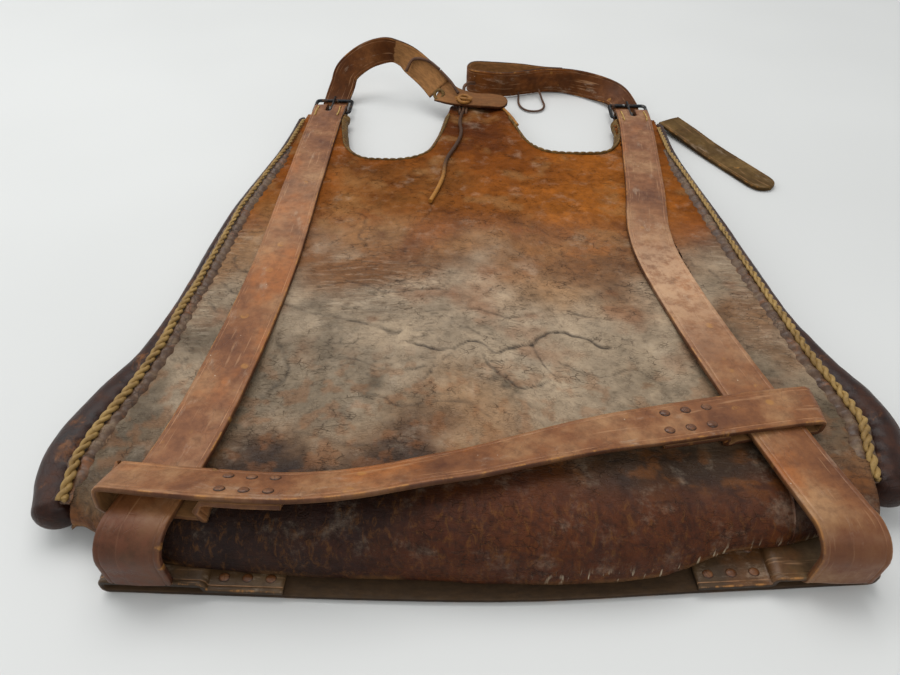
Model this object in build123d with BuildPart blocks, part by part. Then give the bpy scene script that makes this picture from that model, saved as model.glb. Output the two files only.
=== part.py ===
"""Stuffed leather back pad with two main straps, two cross-straps and two shoulder straps.

The pad lies on its back.  +X is to the right, +Y runs to the pad's narrow, thin end and +Z is up.
The origin is on the flat of the back hide.  Lengths are in millimetres.
"""
import os
from math import atan, cos, pi, radians, sin, tan

from build123d import *

# ---- driving dimensions ----
strap_width = 38.0            # 1 1/2 inch harness leather
strap_thick = 4.5
cross_width = 32.0
cross_thick = 4.0
shoulder_width = 31.0
hide_thick = 3.5
front_level = 36.4            # height of the main straps' top face at y = 0
front_slope = 0.0577          # fall of that face per millimetre of +Y
strap_end_y = 312.5           # furthest reach of the main straps' top fold
left_nose_y = -306.0          # where each main strap turns under the thick end
right_nose_y = -289.0
back_run_level = 5.0          # the straps' back runs lie on the back cross-strap here
bar_y = 303.0                 # heel bar of each buckle, inside the strap's top fold
bar_z = 9.2
bar_x = 183.0
bar_radius = 2.0
frame_reach = 32.0            # heel bar to outer bar
frame_corner = 4.0
frame_play = 1.1              # between the strap and each side of its buckle
prong_ring = 2.0              # how far the prong's ring stands round the heel bar
prong_play = 0.08
slot_width = 8.0              # opening for the prong in the strap's top fold
slot_length = 33.0
slot_end_y = 282.0

# side rolls: (y, distance of the roll's centre from the middle, its height, its radius)
left_roll_line = ((284, 213, 10, 4.5), (196, 218, 12, 5.5), (62, 236, 16, 6.5),
                  (-66, 240, 19, 8.5), (-133, 247, 20, 10.5), (-174, 257.5, 20, 14.5),
                  (-210, 267, 19, 16), (-236, 269, 18, 15), (-262, 262, 17, 14))
right_roll_line = ((284, 213, 10, 4.5), (196, 213.5, 12, 5.5), (60, 230, 16, 7),
                   (-65, 244, 19, 8.5), (-102, 251.5, 20, 10.5), (-133, 260.5, 20, 12.5),
                   (-156, 269, 20, 14), (-185, 275, 19, 15), (-226, 264, 19, 15))
edge_gap = 1.0                # from each roll to the hides' edge
left_lacing_y = 138           # where each lacing comes out from under its main strap
right_lacing_y = 172
lacing_radius = 2.3
welt_width = 6.0
welt_thick = 1.4

# centre lines of the straps, seen from above
left_main_line = ((-183, 314), (-182.5, 262), (-177, 100), (-172, -50), (-178, -200), (-195, -308))
right_main_line = ((183, 314), (181.5, 262), (166, 120), (154, 25), (160, -50), (183, -166), (216, -291))
front_cross_line = ((-216, -262), (-103, -266), (-16, -247), (80, -216), (185, -191), (226, -184))
back_cross_line = ((-224, -290), (0, -288), (136, -277), (248, -267))

# spaces in the cross-straps' end loops, which the main straps run through: lowest x, highest x
front_loops = ((-213, -157), (161, 221))
back_loops = ((-217, -160), (180, 238))
lap = 46.0                    # length of each loop's riveted end
rivet_step = 14.0
dome_radius = 4.0
burr_radius = 2.6
burr_height = 0.8
shank_radius = 1.6
dome_height = 2.0
rivet_row = 15.0
rivet_margin = 8.0            # from a loop's wall to its first rivet
fold_radius = 3.0             # outside corners of the end loops
loop_room = 1.0               # between a front loop and the main strap inside it
back_loop_room = 0.8

slope_angle = atan(front_slope)
slope_plane = Plane(origin=(0, 0, front_level), x_dir=(1, 0, 0),
                    z_dir=(0, -cos(slope_angle), sin(slope_angle)))

nose_y = -294.0               # the pad's thick end
seam_level = 12.5             # the hides meet at this height, which falls by seam_fall toward +Y
seam_fall = 0.025
tongue_hole = (-21, 297)      # the lashing's hole through the tongue
tongue_hole_size = (13, 10)

edging_foot = 3.0
edging_width = 3.0
stitch_length = 4.5
thong = 4.0                   # diameter of the ties
loop_thong = 2.6
prong_radius = 1.4
tail_length = 165.0
stitch_places = (276, 282.5, 289, 295.5)

# ---- pad: distances across, the drop of its front below the straps' top face, its back's height ----
pad_end_y = 325.0
stuffing_end_y = 242.0
front_breaks = (-100.0, -160.0, -245.0)
pad_ribs = (
    (0, (5.2, 1.0, 1.5, 0.8), (4.5, 0.0, 0.0, 0.0)),
    (90, (5.2, 2.0, 4.0, 4.5), (4.5, 0.0, 0.0, 0.0)),
    (135, (5.2, 5.2, 10.8, 10.8), (6.0, 6.0, 6.0, 11.0)),
    (206, (5.2, 5.2, 10.8, 10.8), (6.0, 6.0, 6.0, 11.0)),
    (266, (7.0, 9.0, 14.0, 15.0), (7.0, 7.0, 8.0, 12.0)),
)


def strap_top(y):
    """Height of the main straps' top face."""
    return front_level - front_slope * y


def export(piece, name):
    piece.part.label = name
    export_step(piece.part, f"parts/{name}.step")


def band(line, width, across):
    """Strip of the given width along a smooth line; across is the direction it is measured in."""
    dx, dy = across[0] * width / 2, across[1] * width / 2
    one_side = [(x - dx, y - dy) for x, y in line]
    other_side = [(x + dx, y + dy) for x, y in line]
    with BuildSketch() as strip:
        with BuildLine():
            first = Spline(*one_side)
            second = Spline(*other_side)
            Line(first @ 0, second @ 0)
            Line(first @ 1, second @ 1)
        make_face()
    return strip.sketch


def pad_plan(inset):
    """Outline of the hides: straight side facets behind the rolls, two arm cut-outs and a tongue."""
    left_side = [(radius + edge_gap - x, y) for y, x, height, radius in left_roll_line]
    right_side = [(x - radius - edge_gap, y) for y, x, height, radius in right_roll_line]
    with BuildSketch() as plan:
        with BuildLine():
            bottom = Polyline(*left_side, (-227, -284), (-60, -293), (51, -294), (190, -281),
                              (227, -262), *reversed(right_side))
            right_corner = Line(bottom @ 1, (163, 286))
            right_arm = FilletPolyline(right_corner @ 1, (160, 197), (72, 192), (36, 296), (24, 323),
                                       radius=(40, 30, 30))
            tip = Line(right_arm @ 1, (-34, 323))
            left_arm = FilletPolyline(tip @ 1, (-38, 296), (-60, 172), (-146, 171), (-163, 286),
                                      radius=(40, 26, 44))
            Line(left_arm @ 1, bottom @ 0)
        make_face()
        if inset:
            offset(amount=-inset, mode=Mode.REPLACE)
    return plan.sketch


def rib_outline(drops, backs, inset):
    """Side outline of the pad at one rib, as (y, z) corners."""
    end_y = stuffing_end_y if inset else pad_end_y
    tops = [(y, strap_top(y) - drop - inset) for y, drop in zip((end_y, *front_breaks), drops)]
    nose = [(-283, strap_top(-283) - drops[3] - 6 - inset), (nose_y + inset, 26),
            (nose_y + 3 + inset, 15.5 + inset)]
    back = [(-238, 14.8 + inset), (-215, backs[3] + inset), (-135, backs[2] + inset),
            (230, backs[1] + inset), (end_y, backs[0] + inset)]
    return tops + nose + back


def pad_volume(inset):
    """Crowned, wedge-shaped volume of the pad, shrunk by the inset on all sides."""
    ribs = [(-x, drops, backs) for x, drops, backs in pad_ribs[:0:-1]] + list(pad_ribs)
    plan = pad_plan(inset)
    with BuildPart() as wedge:
        for pair in zip(ribs, ribs[1:]):
            for x, drops, backs in pair:
                with BuildSketch(Plane.YZ.offset(x)):
                    Polygon(*rib_outline(drops, backs, inset), align=None)
            loft(ruled=True)
    with BuildPart() as volume:
        with BuildSketch():
            add(plan)
        extrude(amount=80)
        add(wedge.part, mode=Mode.INTERSECT)
    return volume.part


def pad_front(x, y):
    """Height of the pad's front face, for what lies on it."""
    ribs = pad_ribs
    place = min(abs(x), ribs[-1][0] - 1)
    index = max(i for i, rib in enumerate(ribs) if rib[0] <= place)
    (x0, drops0, _), (x1, drops1, _) = ribs[index], ribs[index + 1]
    share = (place - x0) / (x1 - x0)
    drops = [a + (b - a) * share for a, b in zip(drops0, drops1)]
    line = rib_outline(drops, (0, 0, 0, 0), 0)[:6]
    for (ya, za), (yb, zb) in zip(line, line[1:]):
        if yb <= y <= ya:
            return za + (zb - za) * (ya - y) / (ya - yb)
    return line[0][1]


def main_strap_part(line, turn_y):
    """One strap round the pad: front run, turn under the thick end, back run and top fold."""
    side = 1 if line[0][0] > 0 else -1
    plan = band(line, strap_width, (1, 0))
    with BuildPart() as strap:
        with BuildSketch(Plane.YZ):
            with BuildLine():
                FilletPolyline((strap_end_y, 0), (strap_end_y, strap_top(strap_end_y)),
                               (turn_y, strap_top(turn_y)), (turn_y, back_run_level),
                               (-222, back_run_level), (-150, 0),
                               radius=(9.1, 9.1, 20, 9, 60, 60), close=True)
            make_face()
            offset(amount=-strap_thick, mode=Mode.SUBTRACT)
        extrude(amount=300, both=True)
        with BuildSketch():
            add(plan)
        extrude(amount=80, mode=Mode.INTERSECT)
        with Locations((side * bar_x, slot_end_y + slot_length / 2, 16)):
            Box(slot_width, slot_length, 18, mode=Mode.SUBTRACT)
    return strap


def round_piece(stations, hollow=0.0):
    """Lofted round bar, or tube, through (x, y, z, radius) stations."""
    with BuildPart() as bar:
        for cut in (0.0, hollow)[:2 if hollow else 1]:
            for index, (x, y, z, radius) in enumerate(stations):
                before = stations[max(index - 1, 0)]
                after = stations[min(index + 1, len(stations) - 1)]
                along = Vector(after[0] - before[0], after[1] - before[1], after[2] - before[2])
                with BuildSketch(Plane(origin=(x, y, z), x_dir=(0, 0, 1), z_dir=along)):
                    Circle(radius - cut)
            loft(ruled=True, mode=Mode.SUBTRACT if cut else Mode.ADD)
    return bar


def ribbon(edges, thickness):
    """Lofted strap through pairs of opposite edge points."""
    middles = [(Vector(*a) + Vector(*b)) * 0.5 for a, b in edges]
    with BuildPart() as strap:
        for index, (a, b) in enumerate(edges):
            ahead = middles[min(index + 1, len(middles) - 1)]
            behind = middles[max(index - 1, 0)]
            across = Vector(*b) - Vector(*a)
            with BuildSketch(Plane(origin=middles[index], x_dir=across, z_dir=ahead - behind)):
                Rectangle(across.length, thickness)
        loft(ruled=True)
    return strap


def tube(points, diameter, name):
    """Limp cord along straight runs joined by the largest tangent arcs that fit."""
    corners = [Vector(*point) for point in points]
    runs = [b - a for a, b in zip(corners, corners[1:])]
    radii = []
    for first, second in zip(runs, runs[1:]):
        turn = first.get_angle(second)
        radii.append(0.45 * min(first.length, second.length) / tan(radians(turn / 2)))
    with BuildPart() as cord:
        with BuildLine() as route:
            FilletPolyline(*points, radius=radii)
        with BuildSketch(Plane(origin=points[0], z_dir=runs[0])):
            Circle(diameter / 2)
        sweep()
    length = sum(edge.length for edge in route.line.edges())
    expected = length * pi * diameter ** 2 / 4
    print(f"{name}: length {length:.0f}, radii {[round(r, 1) for r in radii]}, "
          f"volume {cord.part.volume / expected:.3f} of section times length")
    return cord


def rivet_group(places, up, foot_level, head_level, dome):
    """Rivets along the up direction: a burr at the foot, a shank and a domed head."""
    with BuildPart() as group:
        for place in places:
            foot = Plane(origin=Vector(*place) + up * foot_level, z_dir=up)
            head = Plane(origin=Vector(*place) + up * head_level, z_dir=up)
            with BuildSketch(foot):
                Circle(burr_radius)
            extrude(amount=burr_height)
            with BuildSketch(foot):
                Circle(shank_radius)
            extrude(amount=head_level - foot_level)
            if dome:
                with BuildSketch(head):
                    Circle(dome_radius)
                extrude(amount=dome, taper=40)
    return group


def roll_place(line, y):
    """Distance from the middle and radius of a side roll at the given y."""
    for (ya, xa, _, ra), (yb, xb, _, rb) in zip(line, line[1:]):
        if yb <= y <= ya:
            share = (ya - y) / (ya - yb)
            return xa + (xb - xa) * share, ra + (rb - ra) * share
    return line[-1][1], line[-1][3]


def arm_lip(low, high):
    """Strip along the hides' edge inside one arm cut-out."""
    outline = pad_plan(0)
    with BuildSketch() as widened:
        add(outline)
        offset(amount=edging_width)
    with BuildSketch() as lip:
        with Locations(((low + high) / 2, 220)):
            Rectangle(high - low, 120)
        add(widened.sketch, mode=Mode.INTERSECT)
        add(outline, mode=Mode.SUBTRACT)
    return lip.sketch


def cross_y(line, x):
    """Place along Y of a cross-strap's centre line, by straight steps."""
    for (xa, ya), (xb, yb) in zip(line, line[1:]):
        if xa <= x <= xb:
            return ya + (yb - ya) * (x - xa) / (xb - xa)
    return line[-1][1]


def rivet_places(line, loops):
    """(x, y) of the two rows of three rivets in each lap."""
    starts = (loops[0][1] + cross_thick + rivet_margin,
              loops[1][0] - cross_thick - rivet_margin - 2 * rivet_step)
    return [(start + step * rivet_step, cross_y(line, start + step * rivet_step) + row)
            for start in starts for step in range(3) for row in (-rivet_row / 2, rivet_row / 2)]


os.makedirs("parts", exist_ok=True)

# ---- the pad: hides and stuffing ----
outer_volume = pad_volume(0)
inner_volume = pad_volume(hide_thick)
filling_volume = pad_volume(hide_thick + 0.3)
for name, keep in (("front_hide", Keep.TOP), ("back_hide", Keep.BOTTOM)):
    with BuildPart() as hide:
        add(outer_volume)
        add(inner_volume, mode=Mode.SUBTRACT)
        split(bisect_by=Plane(origin=(0, 0, seam_level), x_dir=(1, 0, 0), z_dir=(0, seam_fall, 1)),
              keep=keep)
        with Locations((*tongue_hole, 10)):
            Box(*tongue_hole_size, 40, mode=Mode.SUBTRACT)
    export(hide, name)
with BuildPart() as stuffing:
    add(filling_volume)
export(stuffing, "stuffing")

# ---- side rolls, their cores, the welt strip and the lacing that holds them ----
for side, name, line, first_y in ((-1, "left", left_roll_line, left_lacing_y),
                                  (1, "right", right_roll_line, right_lacing_y)):
    stations = [(side * x, y, z, radius) for y, x, z, radius in line]
    export(round_piece(stations, hollow=2.2), f"{name}_side_roll")
    cores = [(x, y, z, radius - 2.5) for x, y, z, radius in stations]
    export(round_piece(cores), f"{name}_roll_core")

    laced = []
    breaks = {y for y, *_ in line}.union(front_breaks)
    for y in [first_y] + sorted((y for y in breaks if line[-1][0] <= y < first_y), reverse=True):
        x, radius = roll_place(line, y)
        x = side * (x - radius - lacing_radius - edge_gap)
        laced.append((x, y, max(pad_front(x - 4, y), pad_front(x + 4, y)) + 0.6))
    with BuildPart() as welt:
        for x, y, z in laced:
            with BuildSketch(Plane(origin=(x, y, z + welt_thick / 2), x_dir=(1, 0, 0),
                                   z_dir=(0, 1, 0))):
                Rectangle(welt_width, welt_thick)
        loft(ruled=True)
    export(welt, f"{name}_lacing_welt")
    lace = [(x, y, z + welt_thick + 0.3 + lacing_radius, lacing_radius) for x, y, z in laced]
    export(round_piece(lace), f"{name}_side_lacing")

# ---- edgings of the two arm cut-outs ----
for name, low, high in (("left", -160, -42), ("right", 42, 160)):
    lip = arm_lip(low, high)
    with BuildPart() as edging:
        with BuildSketch():
            add(lip)
        extrude(amount=50)
        with BuildSketch(Plane.YZ):
            Polygon((100, edging_foot), (100, strap_top(100) - 4), (330, strap_top(330) - 4),
                    (330, edging_foot), align=None)
        extrude(amount=300, both=True, mode=Mode.INTERSECT)
    export(edging, f"{name}_arm_edging")

# ---- main straps, the rivets of their back laps and the stitches at their top folds ----
for side, name, line, turn_y, lap_x in ((-1, "left", left_main_line, left_nose_y, -173),
                                        (1, "right", right_main_line, right_nose_y, 157)):
    strap = main_strap_part(line, turn_y)
    export(strap, f"{name}_main_strap")

    places = [(lap_x + dx, y, 0) for y in (-60, -20) for dx in (-9, 9)]
    export(rivet_group(places, Vector(0, 0, 1), 0, strap_thick + 0.6, 0), f"{name}_main_rivets")

    with BuildPart() as stitches:
        for dx in (-13.5, 13.5):
            for y in stitch_places:
                with Locations(Plane(origin=(side * bar_x + dx, y, strap_top(y)), x_dir=(1, 0, 0),
                                     z_dir=(0, sin(slope_angle), cos(slope_angle)))):
                    Box(1.4, stitch_length, 1.6)
    export(stitches, f"{name}_corner_stitches")

# ---- front cross-strap: a loop round each main strap, its lap riveted underneath ----
with BuildPart() as front_cross:
    front_plan = band(front_cross_line, cross_width, (0, 1))
    with BuildSketch(slope_plane):
        left_out, right_out = front_loops[0][0] - cross_thick, front_loops[1][1] + cross_thick
        with Locations(((left_out + right_out) / 2, loop_room + cross_thick / 2)):
            Rectangle(right_out - left_out, cross_thick)
        loop_height = strap_thick + 2 * loop_room + 2 * cross_thick
        for (low, high), inward in zip(front_loops, (1, -1)):
            with Locations(((low + high) / 2, -strap_thick / 2)):
                RectangleRounded(high - low + 2 * cross_thick, loop_height, fold_radius)
            near = high if inward > 0 else low
            with Locations((near + inward * (cross_thick + lap) / 2, loop_room - cross_thick / 2)):
                Rectangle(cross_thick + lap, cross_thick)
        for low, high in front_loops:
            with Locations(((low + high) / 2, -strap_thick / 2)):
                Rectangle(high - low, strap_thick + 2 * loop_room, mode=Mode.SUBTRACT)
    extrude(amount=400, both=True)
    with BuildSketch():
        add(front_plan)
    extrude(amount=90, mode=Mode.INTERSECT)
export(front_cross, "front_cross_strap")

slope_up = Vector(0, sin(slope_angle), cos(slope_angle))
front_places = [(x, y, strap_top(y)) for x, y in rivet_places(front_cross_line, front_loops)]
export(rivet_group(front_places, slope_up, loop_room - cross_thick - burr_height,
                   loop_room + cross_thick, dome_height), "front_cross_rivets")

# ---- back cross-strap: the same, under the main straps' back runs ----
loop_floor = back_run_level - back_loop_room
loop_roof = back_run_level + strap_thick + back_loop_room
with BuildPart() as back_cross:
    back_plan = band(back_cross_line, cross_width, (0, 1))
    with BuildSketch(Plane.XZ):
        left_out, right_out = back_loops[0][0] - cross_thick, back_loops[1][1] + cross_thick
        with Locations(((left_out + right_out) / 2, loop_floor / 2)):
            Rectangle(right_out - left_out, loop_floor)
        for (low, high), inward in zip(back_loops, (1, -1)):
            with Locations(((low + high) / 2, (loop_roof + cross_thick) / 2)):
                RectangleRounded(high - low + 2 * cross_thick, loop_roof + cross_thick, fold_radius)
            near = high if inward > 0 else low
            with Locations((near + inward * (cross_thick + lap) / 2, loop_floor + cross_thick / 2)):
                Rectangle(cross_thick + lap, cross_thick)
        for low, high in back_loops:
            with Locations(((low + high) / 2, (loop_floor + loop_roof) / 2)):
                Rectangle(high - low, loop_roof - loop_floor, mode=Mode.SUBTRACT)
    extrude(amount=400, both=True)
    with BuildSketch():
        add(back_plan)
    extrude(amount=40, mode=Mode.INTERSECT)
    # the loops stop short of the main straps' turn; only the lowest layer passes under it
    for (low, high), turn_y in zip(back_loops, (left_nose_y, right_nose_y)):
        with Locations(((low + high) / 2, turn_y - 20 + 9.5, loop_floor + 15)):
            Box(high - low + 3 * cross_thick, 40, 30, mode=Mode.SUBTRACT)
export(back_cross, "back_cross_strap")

back_places = [(x, y, 0) for x, y in rivet_places(back_cross_line, back_loops)]
export(rivet_group(back_places, Vector(0, 0, 1), 0, loop_floor + cross_thick, dome_height),
       "back_cross_rivets")

# ---- buckles: wire frame on the heel bar, and a prong that turns on it ----
for side, name in ((-1, "left"), (1, "right")):
    half_width = strap_width / 2 + frame_play + bar_radius
    with BuildPart() as wire:
        with BuildLine():
            corners = [(side * bar_x + dx, bar_y + dy, bar_z)
                       for dx, dy in ((0, 0), (half_width, 0), (half_width, frame_reach),
                                      (-half_width, frame_reach), (-half_width, 0))]
            FilletPolyline(*corners, radius=(0, *[frame_corner] * 4), close=True)
        with BuildSketch(Plane(origin=corners[0], z_dir=(1, 0, 0))):
            Circle(bar_radius)
        sweep()
    export(wire, f"{name}_buckle_frame")

    ring_radius = bar_radius + prong_ring
    with BuildPart() as prong:
        with BuildSketch(Plane.YZ.offset(side * bar_x)):
            with Locations((bar_y, bar_z)):
                Circle(ring_radius)
        extrude(amount=2.4, both=True)
        heel = Vector(side * bar_x, bar_y + 2.5, bar_z + 2.4)
        point = Vector(side * bar_x, bar_y + frame_reach + 3, bar_z + bar_radius + prong_radius + 0.3)
        with BuildSketch(Plane(origin=heel, z_dir=point - heel)):
            Circle(prong_radius)
        extrude(amount=(point - heel).length)
        with BuildSketch(Plane.YZ.offset(side * bar_x)):
            with Locations((bar_y, bar_z)):
                Circle(bar_radius + prong_play)
        extrude(amount=3, both=True, mode=Mode.SUBTRACT)
    export(prong, f"{name}_buckle_prong")

# ---- shoulder straps: pairs of opposite edge points along each ----
left_edges = (((-198.5, 334, 4.6), (-167.5, 334, 4.6)), ((-195, 352, 18), (-163, 351, 13)),
              ((-184, 369, 40), (-153, 362, 31)), ((-162, 376, 56), (-129, 371, 45)),
              ((-132, 375, 66), (-107, 374, 49)), ((-108, 371, 67), (-98, 371, 40)),
              ((-82, 364, 62), (-86, 350, 36)), ((-60, 352, 50), (-71, 337, 25)),
              ((-44, 336, 40), (-55, 324, 15)))
export(ribbon(left_edges, strap_thick), "left_shoulder_strap")

right_edges = (((84, 391.5, 31), (84, 391.5, 0.4)), ((112, 391, 31), (110, 389, 0.4)),
               ((146, 384, 28), (136, 374, 1)), ((178, 370, 22), (160, 351, 4)),
               ((198, 350, 13), (169, 341, 5)), ((198.5, 334, 4.6), (167.5, 334, 4.6)))
eye_line = ((84, 389.2), (32, 374), (-14, 380), (-14, 409), (51, 404), (84, 393.8))
right_run = ribbon(right_edges, strap_thick)
with BuildPart() as right_shoulder:
    add(right_run.part)
    with BuildSketch() as eye:
        with BuildLine():
            FilletPolyline(*eye_line, radius=(20, 10, 10, 20))
        trace(line_width=strap_thick)
    extrude(amount=31)
export(right_shoulder, "right_shoulder_strap")

# ---- the right strap's free end, lying on the table outside the pad ----
tail_root = Vector(229, 300, 7.5)
tail_heading = Vector(0.5, -0.866, 0)
tail_across = Vector(0.866, 0.5, 0)
tail_stops = ((0, 7.5), (30, 6.0), (70, 3.2), (115, 2.3), (tail_length, 2.3))
tail_half = tail_across * (shoulder_width / 2)
tail_edges = []
for reach, z in tail_stops:
    middle = tail_root + tail_heading * reach
    tail_edges.append((((middle - tail_half).X, (middle - tail_half).Y, z),
                       ((middle + tail_half).X, (middle + tail_half).Y, z)))
tail_run = ribbon(tail_edges, strap_thick)
hole = tail_root + tail_heading * 38
with BuildPart() as tail:
    add(tail_run.part)
    with Locations((hole.X, hole.Y, 0)):
        Cylinder(3, 40, mode=Mode.SUBTRACT)
export(tail, "right_strap_tail")

# ---- thongs: the lashing of the tongue, its loose end, the tie of the right strap's eye ----
# the lashing goes down through the tongue's hole and round the tongue's end
with BuildPart() as lashing:
    with BuildSketch(Plane.YZ.offset(tongue_hole[0])):
        with Locations((312.5, 8.7)):
            RectangleRounded(35, 16.6, 4)
            Rectangle(25.5, 11.4, mode=Mode.SUBTRACT)
    extrude(amount=5, both=True)
export(lashing, "tongue_lashing")


tie_route = [(x, y, pad_front(x, y) + thong / 2 + 0.4)
             for x, y in ((-21, 294.5), (-25, 268), (-20, 234), (-26, 200), (-37, 162),
                          (-36, 118), (-47, 76))]
export(tube(tie_route, thong, "tie_thong"), "tie_thong")

eye_route = [(-19, 324, 20), (-22, 338, 26), (-18, 352, 27), (-11, 366, 22), (-8, 374, 18)]
export(tube(eye_route, thong, "eye_thong"), "eye_thong")

loop_route = [(50, 375.5, 6), (49, 362, 2.2), (50, 345, 1.6), (60, 331, 1.6), (76, 332, 1.6),
              (83, 346, 1.6), (80, 362, 2.2), (76, 381, 8)]
export(tube(loop_route, loop_thong, "hanging_loop"), "hanging_loop")
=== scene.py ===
"""Looks of the stuffed leather back pad: worn hides, laced rolls, harness straps, buckles and thongs.

Numbers are millimetres in the CAD model's frame, and become metres where a mesh or curve is made.
"""
from math import atan, cos, pi, radians, sin

import bpy
import numpy as np
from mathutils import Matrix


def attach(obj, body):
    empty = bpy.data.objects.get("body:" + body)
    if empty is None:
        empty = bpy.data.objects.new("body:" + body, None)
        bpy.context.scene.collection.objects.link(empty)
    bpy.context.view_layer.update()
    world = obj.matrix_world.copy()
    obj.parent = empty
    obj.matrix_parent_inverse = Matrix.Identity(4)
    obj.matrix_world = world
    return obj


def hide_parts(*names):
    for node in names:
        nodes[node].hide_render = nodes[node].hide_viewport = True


MM = 0.001
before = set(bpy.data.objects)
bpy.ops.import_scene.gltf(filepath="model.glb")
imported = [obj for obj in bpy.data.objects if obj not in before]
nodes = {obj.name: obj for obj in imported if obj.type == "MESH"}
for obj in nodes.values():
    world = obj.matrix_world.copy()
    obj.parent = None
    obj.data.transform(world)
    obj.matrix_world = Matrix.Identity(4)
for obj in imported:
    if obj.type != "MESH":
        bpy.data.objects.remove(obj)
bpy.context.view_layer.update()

# ---- sizes of the CAD model that the looks are built on ----
strap_width, strap_thick = 38.0, 4.5
cross_width, cross_thick = 32.0, 4.0
shoulder_width = 31.0
front_level, front_slope = 36.4, 0.0577
slope_angle = atan(front_slope)
strap_end_y = 312.5
back_run_level = 5.0
bar_x = 183.0
stuffing_end_y = 158.0

# side rolls: y, distance of the centre from the middle, height, radius
roll_lines = {
    "left": np.array(((284, 213, 10, 4.5), (196, 218, 12, 5.5), (62, 236, 16, 6.5),
                      (-66, 240, 19, 8.5), (-133, 247, 20, 10.5), (-174, 257.5, 20, 14.5),
                      (-210, 267, 19, 16), (-236, 269, 18, 15), (-262, 262, 17, 14))),
    "right": np.array(((284, 213, 10, 4.5), (196, 213.5, 12, 5.5), (60, 230, 16, 7),
                       (-65, 244, 19, 8.5), (-102, 251.5, 20, 10.5), (-133, 260.5, 20, 12.5),
                       (-156, 269, 20, 14), (-185, 275, 19, 15), (-226, 264, 19, 15))),
}
main_lines = {
    "left": ((-183, 314), (-182.5, 262), (-177, 100), (-172, -50), (-178, -200), (-195, -308)),
    "right": ((183, 314), (181.5, 262), (166, 120), (154, 25), (160, -50), (183, -166), (216, -291)),
}
signs = {"left": -1, "right": 1}
turn_places = {"left": -306.0, "right": -289.0}  # y where the main straps turn round the thick end
front_cross_line = ((-216, -262), (-103, -266), (-16, -247), (80, -216), (185, -191), (226, -184))
back_cross_line = ((-224, -290), (0, -288), (136, -277), (248, -267))
front_loops = ((-213, -157), (161, 221))
back_loops = ((-217, -160), (180, 238))
lap, rivet_step, rivet_row = 46.0, 14.0, 15.0
stud_head, stud_burr = (3.3, 2.8, 1.2), (2.6, 2.6, 0.7)  # half width, half length and height

# pad: at each distance from the middle, the front's drop below the straps' top face at front_knots
# and the back's height at back_knots
front_knots = (-245, -160, -100, 325)
back_knots = (-294, -238, -215, -135, 230, 325)
ribs = (
    (0, (0.8, 1.5, 1.0, 5.2), (13, 11, 0, 0, 0, 4.5)),
    (90, (4.5, 4.0, 2.0, 5.2), (13, 11, 0, 0, 0, 4.5)),
    (135, (10.8, 10.8, 5.2, 5.2), (15.5, 14.8, 11, 6, 6, 6)),
    (206, (10.8, 10.8, 5.2, 5.2), (15.5, 14.8, 11, 6, 6, 6)),
    (266, (15, 14, 9, 7), (15.5, 14.8, 12, 8, 7, 7)),
)
# outline of the narrow end, from the left side over both arm cut-outs and the tongue
top_outline = ((-207.5, 286), (-163, 286), (-160, 266), (-154, 232), (-146, 200), (-128, 177), (-103, 170),
               (-78, 173), (-58, 190), (-49, 222), (-43, 258), (-38, 300), (-33, 323), (-5, 325),
               (23, 323), (33, 300), (43, 264), (55, 222), (74, 199), (104, 195), (136, 199),
               (152, 220), (159, 252), (163, 286), (207.5, 286))
# the thick end: how far it reaches and how high its lower edge lies
nose_outline = ((-240, -272, 17), (-200, -290, 16), (-165, -295, 14), (-120, -296, 11), (-60, -296, 10),
                (51, -295, 10), (110, -289, 11.5), (150, -274, 14), (190, -268, 16), (240, -252, 17))
nose_reach = 32.0


# ---- noise and lines ----
def value_noise(x, y, seed):
    """Smooth random field, -1 to 1, with one random value per unit cell."""
    table = np.random.default_rng(seed).uniform(-1, 1, (256, 256))
    column, row = np.floor(x).astype(int), np.floor(y).astype(int)
    u, v = x - column, y - row
    u, v = u * u * (3 - 2 * u), v * v * (3 - 2 * v)
    near = table[column % 256, row % 256] * (1 - u) + table[(column + 1) % 256, row % 256] * u
    far = table[column % 256, (row + 1) % 256] * (1 - u) + table[(column + 1) % 256, (row + 1) % 256] * u
    return near * (1 - v) + far * v


def fractal(x, y, size, seed, octaves=4):
    """Sum of value noises of halving size and weight."""
    total = sum(value_noise(x / size * 2 ** k, y / size * 2 ** k, seed + k) / 2 ** k
                for k in range(octaves))
    return total / (2 - 2 ** (1 - octaves))


def wander(along, size, seed, octaves):
    """Random drift along a line, -1 to 1."""
    return fractal(along, np.zeros_like(along), size, seed, octaves)


def cell_edges(x, y, size, seed):
    """0 on the edges between random cells, rising to about 1 at their middles."""
    jitter = np.random.default_rng(seed).uniform(0, 1, (64, 64, 2))
    x, y = x / size, y / size
    column, row = np.floor(x).astype(int), np.floor(y).astype(int)
    first = np.full(x.shape, 9.0)
    second = first.copy()
    for dx in (-1, 0, 1):
        for dy in (-1, 0, 1):
            place = jitter[(column + dx) % 64, (row + dy) % 64]
            distance = np.hypot(column + dx + place[..., 0] - x, row + dy + place[..., 1] - y)
            second = np.minimum(second, np.maximum(first, distance))
            first = np.minimum(first, distance)
    return second - first


def smoothstep(low, high, value):
    share = np.clip((value - low) / (high - low), 0, 1)
    return share * share * (3 - 2 * share)


def xyz(x, y, z):
    """Points from three coordinates; each may be a number, a row or a whole grid."""
    return np.stack(np.broadcast_arrays(x, y, z), -1)


def unit(vectors):
    return vectors / np.maximum(np.linalg.norm(vectors, axis=-1, keepdims=True), 1e-9)


def resample(line, step):
    """The same line in even steps, and the distance along it."""
    reach = np.r_[0, np.cumsum(np.linalg.norm(np.diff(line, axis=0), axis=1))]
    along = np.linspace(0, reach[-1], max(2, int(round(reach[-1] / step)) + 1))
    return np.stack([np.interp(along, reach, line[:, k]) for k in range(line.shape[1])], 1), along


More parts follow.
